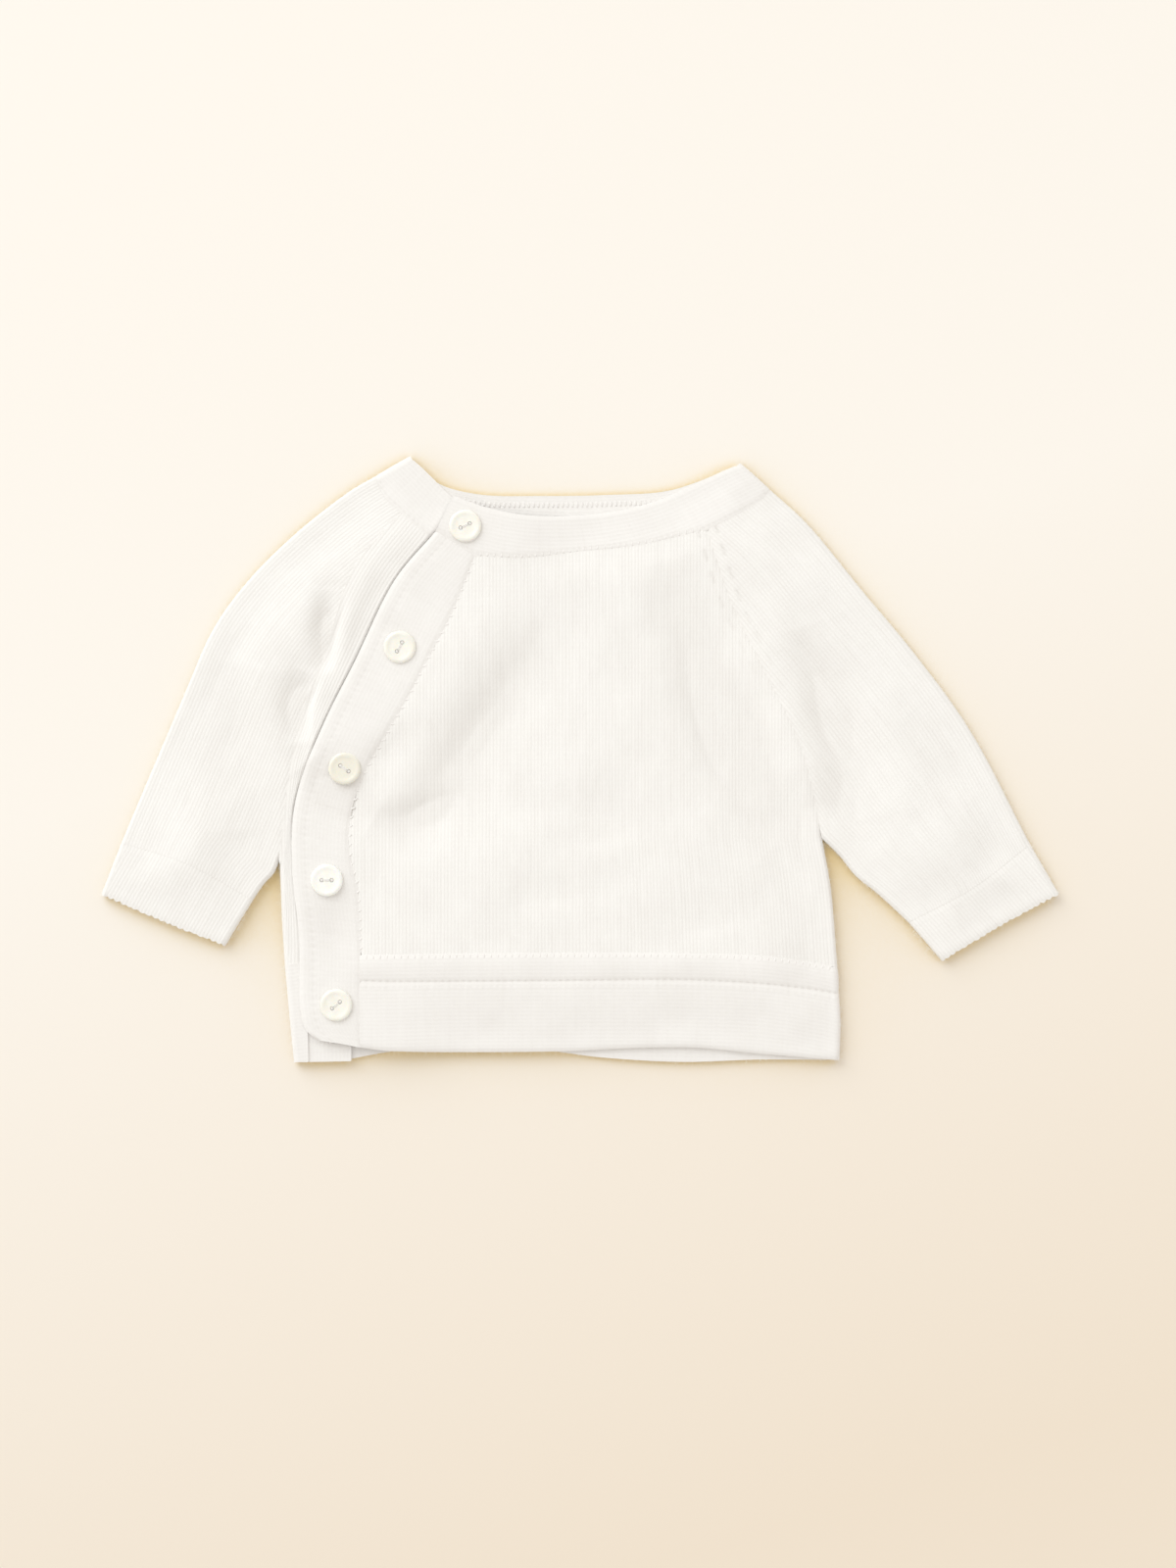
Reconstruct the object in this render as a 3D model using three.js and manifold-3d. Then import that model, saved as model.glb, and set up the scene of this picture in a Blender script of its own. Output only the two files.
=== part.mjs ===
// A baby's wrap cardigan in fine knit, laid flat on its back. The wide front
// crosses over a narrow under-front and buttons down one raglan and side.
// X runs from cuff to cuff, Y from hem to neck, Z up. The origin is on the
// surface below the middle of the garment. Every cloth piece is a thin wall
// round a middle sheet, and the pieces meet at open seams.

import * as THREE from 'three';
import { mergeVertices } from 'three/addons/utils/BufferGeometryUtils.js';
import Module from 'manifold-3d';

const wasm = await Module();
wasm.setup();

// Driving dimensions, in millimetres.
const PANEL_WALL = 1.5;
const BAND_WALL = 1.9;
const SEAM_GAP = 0.3;

// Heights of the middle of a wall above the surface.
const EDGE_LEVEL = 3.15;
const UNDER_BAND_LEVEL = 2.95;
const OVERLAP_LEVEL = 5.5;

// The upper layer swells from the folded edges to this much over them.
const PUFF = 2;
const PUFF_REACH = 28;
const FOLD_FADE = 10;
const CREASE_END_SHARE = 0.25;

// The overlap holds the front up this far in from the wrap edge, then lets go.
const OVERLAP_WIDTH = 26;
const OVERLAP_FADE = 34;
const OVERLAP_CALM = 0.6;
const UNDER_SLOPE = 0.35;

// Half turns where cloth folds over, quarter turns where a seam is at a fold.
const CURL_RADIUS = (EDGE_LEVEL - PANEL_WALL / 2 - SEAM_GAP) / 2;
const CURL_REACH = CURL_RADIUS + PANEL_WALL / 2;
const CURL_STEPS = 2;
const NOSE_STEPS = 4;

// How far a band's outer face swells over its plain wall.
const BAND_CROWN = 0.2;

const BUTTON_RADIUS = 6.35;
const BUTTON_HEIGHT = 2.6;
const BUTTON_SEGMENTS = 24;
const BUTTON_HOLE_RADIUS = 0.95;
const BUTTON_HOLE_SPACING = 3.9;
const HOLE_SEGMENTS = 12;

const KNIT = { color: '#f6f1e8', roughness: 0.95, metalness: 0 };
const BAND_KNIT = { color: '#f8f3ea', roughness: 0.95, metalness: 0 };
const PEARL = { color: '#f2ecdd', roughness: 0.22, metalness: 0 };

// ---------------------------------------------------------------- plan lines

// A smooth line through x, y points. A line is a function from a share of its
// length, 0 to 1, to a point.
function line(...points) {
  const bends = points.map(([x, y]) => new THREE.Vector3(x, y, 0));
  const curve = new THREE.CatmullRomCurve3(bends, false, 'centripetal');
  return (share) => {
    const { x, y } = curve.getPointAt(THREE.MathUtils.clamp(share, 0, 1));
    return new THREE.Vector2(x, y);
  };
}

const reversed = (path) => (share) => path(1 - share);

// One line after another, with the joint at a chosen share.
function joined(first, second, joint) {
  return (share) => (share <= joint ? first(share / joint) : second((share - joint) / (1 - joint)));
}

// The unit vector to the left of a line's run.
function leftOf(path, share) {
  const step = 0.01;
  const back = path(Math.max(share - step, 0));
  const ahead = path(Math.min(share + step, 1));
  const run = ahead.sub(back).normalize();
  return new THREE.Vector2(-run.y, run.x);
}

// The line moved to its left; a negative distance moves it to its right.
function beside(path, distance) {
  return (share) => path(share).addScaledVector(leftOf(path, share), distance);
}

// Neck: free edges, the seams below the band, and the folds at the shoulders.
const neckFrontEdge = line([-49.7, 103], [-35, 98], [-19.3, 95.3], [7.3, 96.1], [28.5, 100.7],
  [49.7, 110], [63.1, 116.5]);
const neckBackEdge = line([63.1, 116.5], [49.7, 110.3], [33.9, 105.3], [10.8, 103.8], [-14.2, 103.4],
  [-40.4, 104.1], [-56.6, 108.8], [-67, 119.2]);
const neckUnderEdge = line([-67, 119.2], [-58.5, 110.7], [-51.2, 103.4], [-41.5, 97.4]);
const neckWrapSeam = line([-56.6, 89.1], [-41.4, 79.5]);
const neckFrontSeam = line([-41.4, 79.5], [-22.7, 78.7], [0.8, 81.4], [20.8, 83.4], [50, 89.9]);
const neckLeftSleeveSeam = line([50, 89.9], [61, 95.4], [71.6, 101.9], [75.1, 105.7]);
const neckBackLeftSeam = line([75.1, 105.7], [71.6, 101.9], [64, 98.9], [54, 96.5]);
const neckBackSeam = line([54, 96.5], [45.5, 94.1], [33, 89.8], [10.8, 87.8], [-14.2, 87.4],
  [-42, 88.4], [-62, 95.6]);
const neckBackRightSeam = line([-62, 95.6], [-71, 99.8], [-78.5, 107], [-80.9, 111.1]);
const neckRightSleeveSeam = line([-80.9, 111.1], [-77.2, 102.9], [-70.1, 96.4]);
const neckUnderSeam = line([-70.1, 96.4], [-63.9, 90.7], [-57, 85.6]);
const neckUnderWrapSeam = line([-57, 85.6], [-50, 81.9], [-45.5, 79.9]);
const leftShoulderFold = line([63.1, 116.5], [75.1, 105.7]);
const rightShoulderFold = line([-67, 119.2], [-80.9, 111.1]);
const neckWrapEnd = line([-49.7, 103], [-56.6, 89.1]);
const neckUnderEnd = line([-41.5, 97.4], [-45.5, 79.9]);

// Raglans, from neck to underarm, and the sides from there to the welt.
const leftRaglan = line([50, 89.9], [59.7, 61], [72.5, 34.5], [86.4, 6], [92.3, -16], [95.1, -31.2]);
const leftBackRaglan = line([54, 96.5], [62.6, 62], [80, 14], [95.1, -31.2]);
const leftSide = line([95.1, -31.2], [98.5, -50], [101.2, -81.8]);
const rightRaglan = line([-70.1, 96.4], [-88, 76], [-96, 55], [-102.3, 35], [-109, 19], [-112.6, 3],
  [-115.6, -17], [-118.2, -39.5]);
const rightBackRaglan = line([-62, 95.6], [-80, 56], [-101, 8], [-118.2, -39.5]);
const rightSide = line([-118.2, -39.5], [-117.4, -61], [-116.2, -81]);

// Sleeves, from shoulder to cuff seam and on round the cuff.
const leftSleeveFold = line([75.1, 105.7], [89.3, 92.6], [110.9, 66.4], [132, 41], [153.2, 11.7],
  [176.9, -33.2]);
const leftSleeveInner = line([95.1, -31.2], [102.2, -38.3], [108.5, -46.1], [116.4, -52.4], [129, -64]);
const leftCuffSeam = line([176.9, -33.2], [154, -50.5], [129, -64]);
const leftCuffFold = line([176.9, -33.2], [182.5, -42.6], [188.3, -52.8]);
const leftCuffInner = line([129, -64], [134.6, -72.2], [142.2, -79.2]);
const leftCuffEdge = line([188.3, -52.8], [165.5, -65.2], [142.2, -79.2]);
const rightSleeveFold = line([-80.9, 111.1], [-90.5, 105.5], [-112, 88.7], [-130.5, 70.3], [-144, 51.8],
  [-157, 22.5], [-180.4, -32.6]);
const rightSleeveInner = line([-118.2, -39.5], [-120.6, -45], [-124.3, -49], [-128.6, -55.2]);
const rightCuffSeam = line([-180.4, -32.6], [-154, -41], [-128.6, -55.2]);
const rightCuffFold = line([-180.4, -32.6], [-184.4, -43], [-188.3, -53]);
const rightCuffInner = line([-128.6, -55.2], [-133.6, -65.5], [-139.5, -73.2]);
const rightCuffEdge = line([-188.3, -53], [-164, -63.6], [-139.5, -73.2]);

// The wrap: free edge and seam of the button band, and the strip under it.
const wrapEdge = line([-56.6, 89.1], [-72.4, 70.3], [-88.2, 38.3], [-98.9, 17.1], [-108.6, -5.5],
  [-112.4, -22], [-112.6, -45], [-109.9, -71], [-109.5, -98], [-107.2, -106.4], [-102.4, -110.2]);
const wrapSeamAbove = line([-41.4, 79.5], [-50.4, 57.4], [-58.9, 41.2], [-68.2, 23.4], [-76.3, 9.8],
  [-84.8, -5.2], [-90.2, -21.4], [-90.7, -36], [-87.4, -52], [-86.2, -77]);
const wrapSeamBelow = line([-86.2, -77], [-86.5, -95], [-86.2, -113]);
const wrapFoot = line([-102.4, -110.2], [-94, -111.4], [-86.2, -113]);
const underEdge = line([-57, 85.6], [-71, 67.6], [-86.6, 37.4], [-97.2, 16], [-106.9, -6.4],
  [-110.5, -22], [-110.6, -45], [-108.2, -71], [-107.9, -80]);
const underFoot = line([-107.9, -80], [-107.4, -98], [-106.9, -118.9]);
const underInner = line([-45.5, 79.9], [-57.8, 57.4], [-71, 30], [-82, 7], [-90.6, -10], [-92.9, -24],
  [-92.9, -45], [-90.6, -71], [-90.2, -98], [-90.1, -118.6]);

// Welt and hem, round the bottom.
const frontWeltSeam = line([-86.2, -77], [-40, -76.3], [40, -76.3], [74, -77.6], [101.2, -81.8]);
const backWeltSeam = line([101.2, -81.8], [0, -80], [-116.2, -81]);
const underWeltSeam = line([-116.2, -81], [-107.9, -80]);
const frontHem = line([-86.2, -113], [-74.8, -114.4], [-12.3, -114.8], [27, -113.2], [46.6, -113.3],
  [66.2, -115.2], [102, -118.2]);
const backHem = line([102, -118.2], [70, -118.1], [40, -119], [9, -117.3], [-20, -113.9], [-70, -114.4],
  [-96, -118.6], [-112.6, -119.1]);
const underHem = line([-112.6, -119.1], [-106.9, -118.9]);
const leftHemFold = line([101.2, -81.8], [102.4, -102.2], [102, -118.2]);
const rightHemFold = line([-116.2, -81], [-114.4, -101], [-112.6, -119.1]);

// ------------------------------------------------------------ height of layers

const smooth = (value) => THREE.MathUtils.smoothstep(value, 0, 1);

// The nearest place on a line: how far off it is, on which side of its run,
// and how far along it.
function nearest(stops, x, y) {
  const best = { distance: Infinity, side: 1, share: 0 };
  for (let index = 1; index < stops.length; index += 1) {
    const start = stops[index - 1];
    const runX = stops[index].x - start.x;
    const runY = stops[index].y - start.y;
    const along = ((x - start.x) * runX + (y - start.y) * runY) / (runX * runX + runY * runY);
    const share = THREE.MathUtils.clamp(along, 0, 1);
    const offX = x - start.x - share * runX;
    const offY = y - start.y - share * runY;
    const distance = Math.hypot(offX, offY);
    if (distance < best.distance) {
      best.distance = distance;
      best.side = Math.sign(runX * offY - runY * offX) || 1;
      best.share = (index - 1 + share) / (stops.length - 1);
    }
  }
  return best;
}

const STOPS = 40;
const CREASE_STOPS = 12;
const stopsOf = (path) => Array.from({ length: STOPS + 1 }, (_, stop) => path(stop / STOPS));

const lowEdges = [neckFrontEdge, leftShoulderFold, rightShoulderFold, leftSide, rightSide, leftSleeveFold,
  rightSleeveFold, leftSleeveInner, rightSleeveInner, leftCuffFold, rightCuffFold, leftCuffInner,
  rightCuffInner, leftCuffEdge, rightCuffEdge, leftHemFold, rightHemFold, frontHem].map(stopsOf);
const wrapStops = stopsOf(wrapEdge);
const wrapEndStops = stopsOf(neckWrapEnd);

// Soft creases of the upper layer: a curve from start past bend to end, the
// half width across it, and how far it rises or, if negative, sinks.
const creaseColumns = ['startX', 'startY', 'bendX', 'bendY', 'endX', 'endY', 'width', 'rise'];
const creases = [
  [-35, 66, -55, 26, -80, -10, 7, 0.6],
  [-22, 52, -38, 32, -56, -8, 8, -2.1],
  [-50, -4, -60, -17, -84, -20, 6, -1.5],
  [30, 68, 45, 42, 46, 8, 7, -1.3],
  [46, 12, 50, -8, 68, -18, 7, -1],
  [57, 54, 74, 14, 91, -36, 6, 0.8],
  [-36, -12, -8, -10, 20, -14, 5, -0.8],
  [-4, -25, 9, -25, 23, -18, 5, -0.8],
  [-27, -51, -8, -50, 11, -45, 5, -0.9],
  [36, -62, 50, -61, 65, -56, 5, -0.7],
  [77, 47, 92, 14, 102, -21, 6, -1.8],
  [97, 42, 108, 18, 112, -8, 8, 0.6],
  [125, 14, 139, 0, 149, -18, 8, -0.9],
  [149, -48, 161, -40, 169, -27, 6, -0.6],
  [-103, 71, -105, 54, -102, 38, 5, -1.6],
  [-111, 34, -116, 22, -116, 6, 5, -2],
  [-84, 72, -93, 52, -102, 26, 4, 0.7],
  [-104, 24, -107, 14, -108, 4, 3.5, 0.6],
  [-127, 32, -134, 10, -131, -12, 8, -0.9],
  [-152, 44, -160, 18, -168, 0, 9, -0.6],
].map((row) => {
  const crease = Object.fromEntries(creaseColumns.map((name, column) => [name, row[column]]));
  const curve = new THREE.QuadraticBezierCurve(
    new THREE.Vector2(crease.startX, crease.startY),
    new THREE.Vector2(crease.bendX, crease.bendY),
    new THREE.Vector2(crease.endX, crease.endY),
  );
  return { ...crease, stops: curve.getPoints(CREASE_STOPS) };
});

// How far a crease lifts the cloth at a place; it fades at both ends.
function creaseRise(crease, x, y) {
  const { distance, share } = nearest(crease.stops, x, y);
  const across = Math.exp(-((distance / crease.width) ** 2));
  const ends = THREE.MathUtils.lerp(CREASE_END_SHARE, 1, Math.sin(Math.PI * share));
  return crease.rise * across * ends;
}

function edgeDistance(x, y) {
  return Math.min(...lowEdges.map((stops) => nearest(stops, x, y).distance));
}

// How far a place is outside the wrap's free edge; inside it is negative.
function outsideWrap(x, y) {
  const alongBand = nearest(wrapStops, x, y);
  const alongNeck = nearest(wrapEndStops, x, y);
  const closer = alongBand.distance < alongNeck.distance ? alongBand : alongNeck;
  return -closer.side * closer.distance;
}

// The middle of the upper layer, where something holds it up by a share.
function upperLevel(x, y, held) {
  const inland = edgeDistance(x, y) - CURL_REACH - SEAM_GAP;
  const loose = EDGE_LEVEL + PUFF * smooth(inland / PUFF_REACH);
  const lifted = THREE.MathUtils.lerp(loose, Math.max(loose, OVERLAP_LEVEL), held);
  const folds = creases.reduce((sum, crease) => sum + creaseRise(crease, x, y), 0);
  return lifted + folds * smooth(inland / FOLD_FADE) * (1 - OVERLAP_CALM * held);
}

// The lowest a wall's middle can be over a lower layer of the same wall.
const lowestOver = (wall) => wall + SEAM_GAP + wall / 2;

// Sleeves lie on their own backs, clear of the wrap.
const sleeveLevel = (x, y) => Math.max(upperLevel(x, y, 0), lowestOver(PANEL_WALL));

// The front and its bands lie over the under pieces along the wrap.
function frontLevel(wall) {
  return (x, y) => {
    const held = 1 - smooth((-outsideWrap(x, y) - OVERLAP_WIDTH) / OVERLAP_FADE);
    return Math.max(upperLevel(x, y, held), lowestOver(wall));
  };
}

// Pieces under the wrap keep below it and rise again where they come out.
function underLevel(lowest) {
  return (x, y) => Math.min(upperLevel(x, y, 0), lowest + UNDER_SLOPE * Math.max(outsideWrap(x, y), 0));
}

// ------------------------------------------------------------------- sheets

// A line whose two ends are put at corners beside them.
function withEnds(path, start, end) {
  return (share) => {
    if (share === 0) return start.clone();
    return share === 1 ? end.clone() : path(share);
  };
}

// Points of a patch between four lines, evened out from all sides. Runs go
// across from left to right, and steps go from the top to the bottom.
function spread({ top, bottom, left, right }, runShares, stepShares) {
  const corner = { topLeft: left(0), topRight: right(0), bottomLeft: left(1), bottomRight: right(1) };
  const upper = withEnds(top, corner.topLeft, corner.topRight);
  const lower = withEnds(bottom, corner.bottomLeft, corner.bottomRight);
  return runShares.map((u) => stepShares.map((v) => {
    const mixed = upper(u).multiplyScalar(1 - v).addScaledVector(lower(u), v)
      .addScaledVector(left(v), 1 - u)
      .addScaledVector(right(v), u);
    return mixed
      .addScaledVector(corner.topLeft, -(1 - u) * (1 - v))
      .addScaledVector(corner.topRight, -u * (1 - v))
      .addScaledVector(corner.bottomLeft, -(1 - u) * v)
      .addScaledVector(corner.bottomRight, -u * v);
  }));
}

// Cells across each piece, from one edge to the other.
const CELLS = {
  front: 22,
  back: 10,
  underFront: 3,
  sleeveFront: 9,
  sleeveBack: 4,
  cuffDepth: 3,
  neckFront: 18,
  neckBack: 18,
  neckUnder: 8,
  hemFront: 20,
  hemBack: 14,
  hemUnder: 2,
  buttonBand: 34,
  underBandLength: 28,
  underBandWidth: 2,
};

const evenShares = (count) => Array.from({ length: count + 1 }, (_, index) => index / count);

// Opens half a seam along the chosen sides of a grid: each point there moves
// in along its own grid line.
function openSeams(grid, sides) {
  const crossing = grid[0].map((_, step) => grid.map((run) => run[step]));
  const edges = {
    left: [grid[0], grid[1]],
    right: [grid.at(-1), grid.at(-2)],
    top: [crossing[0], crossing[1]],
    bottom: [crossing.at(-1), crossing.at(-2)],
  };
  const moves = sides.flatMap((side) => {
    const [edge, inner] = edges[side];
    return edge.map((point, index) => {
      const before = edge[Math.max(index - 1, 0)];
      const after = edge[Math.min(index + 1, edge.length - 1)];
      const inward = inner[index].clone().sub(point).normalize();
      const along = after.clone().sub(before).normalize();
      return [point, inward.multiplyScalar(SEAM_GAP / 2 / Math.abs(inward.cross(along)))];
    });
  });
  moves.forEach(([point, move]) => point.add(move));
  return grid;
}

// A place on a sheet: its middle, the way its outer face looks, and how far
// that face is raised there.
const place = (x, y, z, outward, raised = 0) => ({ middle: new THREE.Vector3(x, y, z), outward, raised });

const UP = new THREE.Vector3(0, 0, 1);
const DOWN = new THREE.Vector3(0, 0, -1);

const laidOver = (grid, level) => grid.map((run) => run.map(({ x, y }) => place(x, y, level(x, y), UP)));
const laidUnder = (grid, wall) => grid.map((run) => run.map(({ x, y }) => place(x, y, wall / 2, DOWN)));

// The unit vectors out of a sheet's end run, level with the surface.
function outwardOf(run, inside) {
  return run.map(({ middle }, step) => {
    const before = run[Math.max(step - 1, 0)].middle;
    const after = run[Math.min(step + 1, run.length - 1)].middle;
    const across = new THREE.Vector3(after.y - before.y, before.x - after.x, 0).normalize();
    const inward = inside[step].middle.clone().sub(middle);
    return across.dot(inward) > 0 ? across.negate() : across;
  });
}

// A half turn over from an upper run to the flat run below it.
function halfTurn(run, inside, wall) {
  const outward = outwardOf(run, inside);
  const turns = [];
  for (let turn = 1; turn < NOSE_STEPS; turn += 1) {
    const angle = Math.PI * (0.5 - turn / NOSE_STEPS);
    turns.push(run.map(({ middle }, step) => {
      const radius = (middle.z - wall / 2) / 2;
      const facing = outward[step].clone().multiplyScalar(Math.cos(angle));
      facing.z = Math.sin(angle);
      const centre = new THREE.Vector3(middle.x, middle.y, wall / 2 + radius);
      const { x, y, z } = centre.addScaledVector(facing, radius);
      return place(x, y, z, facing);
    }));
  }
  return turns;
}

// A quarter turn towards a seam at a fold. Before the first folded step the
// edge runs on level. Upper runs turn down and lower runs turn up.
function quarterTurn(run, inside, firstFolded) {
  const outward = outwardOf(run, inside);
  const turns = [];
  for (let turn = 1; turn <= CURL_STEPS; turn += 1) {
    const angle = (Math.PI / 2) * (turn / CURL_STEPS);
    turns.push(run.map(({ middle, outward: facing }, step) => {
      const level = step < firstFolded;
      const reach = level ? angle : Math.sin(angle);
      const drop = level ? 0 : 1 - Math.cos(angle);
      const turned = level ? facing.clone() : outward[step].clone().multiplyScalar(Math.sin(angle))
        .addScaledVector(facing, Math.cos(angle));
      const { x, y, z } = middle.clone()
        .addScaledVector(outward[step], reach * CURL_RADIUS)
        .addScaledVector(facing, -drop * CURL_RADIUS);
      return place(x, y, z, turned);
    }));
  }
  return turns;
}

// A closed wall round a sheet of places.
function wallGeometry(sheet, wall) {
  const runs = sheet.length;
  const steps = sheet[0].length;
  const positions = [];
  for (const side of [1, -1]) {
    for (const { middle, outward, raised } of sheet.flat()) {
      const reach = side > 0 ? wall / 2 + raised : -wall / 2;
      positions.push(...middle.clone().addScaledVector(outward, reach));
    }
  }
  const index = [];
  const at = (side, run, step) => (side * runs + run) * steps + step;
  const quad = (a, b, c, d) => index.push(a, b, c, a, c, d);
  for (let run = 0; run < runs - 1; run += 1) {
    for (let step = 0; step < steps - 1; step += 1) {
      quad(at(0, run, step), at(0, run, step + 1), at(0, run + 1, step + 1), at(0, run + 1, step));
      quad(at(1, run, step), at(1, run + 1, step), at(1, run + 1, step + 1), at(1, run, step + 1));
    }
    const last = steps - 1;
    quad(at(0, run, 0), at(0, run + 1, 0), at(1, run + 1, 0), at(1, run, 0));
    quad(at(0, run, last), at(1, run, last), at(1, run + 1, last), at(0, run + 1, last));
  }
  for (let step = 0; step < steps - 1; step += 1) {
    const last = runs - 1;
    quad(at(0, 0, step), at(1, 0, step), at(1, 0, step + 1), at(0, 0, step + 1));
    quad(at(0, last, step), at(0, last, step + 1), at(1, last, step + 1), at(1, last, step));
  }
  if (volumeOf(positions, index) < 0) index.reverse();
  const geometry = new THREE.BufferGeometry();
  geometry.setAttribute('position', new THREE.Float32BufferAttribute(positions, 3));
  geometry.setIndex(index);
  geometry.computeVertexNormals();
  return geometry;
}

function volumeOf(positions, index) {
  const corner = (place) => new THREE.Vector3().fromArray(positions, 3 * index[place]);
  let volume = 0;
  for (let place = 0; place < index.length; place += 3) {
    volume += corner(place).dot(corner(place + 1).cross(corner(place + 2))) / 6;
  }
  return volume;
}

function clothMesh(name, sheet, wall, look) {
  const mesh = new THREE.Mesh(wallGeometry(sheet, wall), new THREE.MeshStandardMaterial(look));
  mesh.name = name;
  return mesh;
}

// ------------------------------------------------------------------- pieces

// Steps of the front and back down the raglan, and from the underarm down.
const RAGLAN_STEPS = 14;
const SIDE_STEPS = 6;
const UNDERARM = RAGLAN_STEPS / (RAGLAN_STEPS + SIDE_STEPS);
const BODY_STEPS = evenShares(RAGLAN_STEPS + SIDE_STEPS);

function frontPanel() {
  const edge = joined(leftRaglan, leftSide, UNDERARM);
  const grid = openSeams(spread({
    top: neckFrontSeam,
    bottom: frontWeltSeam,
    left: wrapSeamAbove,
    right: beside(edge, -CURL_REACH),
  }, evenShares(CELLS.front), BODY_STEPS), ['top', 'bottom', 'left']);
  const sheet = laidOver(grid, frontLevel(PANEL_WALL));
  const turned = quarterTurn(sheet.at(-1), sheet.at(-2), RAGLAN_STEPS + 1);
  return clothMesh('front', [...sheet, ...turned], PANEL_WALL, KNIT);
}

function backPanel() {
  const leftEdge = joined(leftBackRaglan, leftSide, UNDERARM);
  const rightEdge = joined(rightBackRaglan, rightSide, UNDERARM);
  const grid = openSeams(spread({
    top: reversed(neckBackSeam),
    bottom: reversed(backWeltSeam),
    left: beside(rightEdge, CURL_REACH),
    right: beside(leftEdge, -CURL_REACH),
  }, evenShares(CELLS.back), BODY_STEPS), ['top', 'bottom']);
  const sheet = laidUnder(grid, PANEL_WALL);
  const turnedLeft = quarterTurn(sheet.at(-1), sheet.at(-2), RAGLAN_STEPS + 1);
  const turnedRight = quarterTurn(sheet[0], sheet[1], RAGLAN_STEPS + 1).reverse();
  return clothMesh('back', [...turnedRight, ...sheet, ...turnedLeft], PANEL_WALL, KNIT);
}

function underFront() {
  const edge = joined(rightRaglan, rightSide, UNDERARM);
  const grid = openSeams(spread({
    top: neckUnderSeam,
    bottom: underWeltSeam,
    left: beside(edge, CURL_REACH),
    right: underEdge,
  }, evenShares(CELLS.underFront), BODY_STEPS), ['top', 'bottom', 'right']);
  const sheet = laidOver(grid, underLevel(UNDER_BAND_LEVEL));
  const turned = quarterTurn(sheet[0], sheet[1], RAGLAN_STEPS + 1).reverse();
  return clothMesh('under_front', [...turned, ...sheet], PANEL_WALL, KNIT);
}

// A sleeve runs from its front raglan over the outer fold to its back one,
// and closes to a tube below the underarm.
const ARM_STEPS = 5;
const ARM_START = RAGLAN_STEPS / (RAGLAN_STEPS + ARM_STEPS);
const SLEEVE_STEPS = evenShares(RAGLAN_STEPS + ARM_STEPS);
const NOSE_REACH = (EDGE_LEVEL - PANEL_WALL / 2) / 2 + PANEL_WALL / 2;

function sleeve(name, lines, side) {
  const fold = beside(lines.fold, -side * NOSE_REACH);
  const frontEdge = beside(joined(lines.frontRaglan, lines.inner, ARM_START), side * CURL_REACH);
  const backEdge = beside(joined(lines.backRaglan, lines.inner, ARM_START), side * CURL_REACH);
  const upper = laidOver(openSeams(spread({
    top: lines.frontNeck,
    bottom: reversed(lines.cuffSeam),
    left: frontEdge,
    right: fold,
  }, evenShares(CELLS.sleeveFront), SLEEVE_STEPS), ['top', 'bottom']), sleeveLevel);
  const lower = laidUnder(openSeams(spread({
    top: lines.backNeck,
    bottom: lines.cuffSeam,
    left: fold,
    right: backEdge,
  }, evenShares(CELLS.sleeveBack), SLEEVE_STEPS), ['top', 'bottom']), PANEL_WALL);
  const firstFolded = RAGLAN_STEPS + 1;
  const sheet = [
    ...quarterTurn(upper[0], upper[1], firstFolded).reverse(),
    ...upper,
    ...halfTurn(upper.at(-1), upper.at(-2), PANEL_WALL),
    ...lower,
    ...quarterTurn(lower.at(-1), lower.at(-2), firstFolded),
  ];
  return clothMesh(name, sheet, PANEL_WALL, KNIT);
}

// A cuff is a tube, with its seam at the inner fold.
function cuff(name, lines, side) {
  const fold = beside(lines.cuffFold, -side * NOSE_REACH);
  const inner = beside(lines.cuffInner, side * CURL_REACH);
  const steps = evenShares(CELLS.cuffDepth);
  const upper = laidOver(openSeams(spread({
    top: reversed(lines.cuffSeam),
    bottom: reversed(lines.cuffEdge),
    left: inner,
    right: fold,
  }, evenShares(CELLS.sleeveFront), steps), ['top']), sleeveLevel);
  const lower = laidUnder(openSeams(spread({
    top: lines.cuffSeam,
    bottom: lines.cuffEdge,
    left: fold,
    right: inner,
  }, evenShares(CELLS.sleeveBack), steps), ['top']), PANEL_WALL);
  const sheet = [
    ...quarterTurn(upper[0], upper[1], 0).reverse(),
    ...upper,
    ...halfTurn(upper.at(-1), upper.at(-2), PANEL_WALL),
    ...lower,
    ...quarterTurn(lower.at(-1), lower.at(-2), 0),
  ];
  return clothMesh(name, sheet, PANEL_WALL, BAND_KNIT);
}

// Raises a strip's outer face by its profile, a row for each step across.
function raiseProfile(sheet, profile) {
  for (const run of sheet) {
    run.forEach((spot, step) => {
      spot.raised = spot.outward.z > -0.5 ? profile[step].raised : 0;
    });
  }
  return sheet;
}

const BAND_NOSE_REACH = (EDGE_LEVEL - BAND_WALL / 2) / 2 + BAND_WALL / 2;

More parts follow.
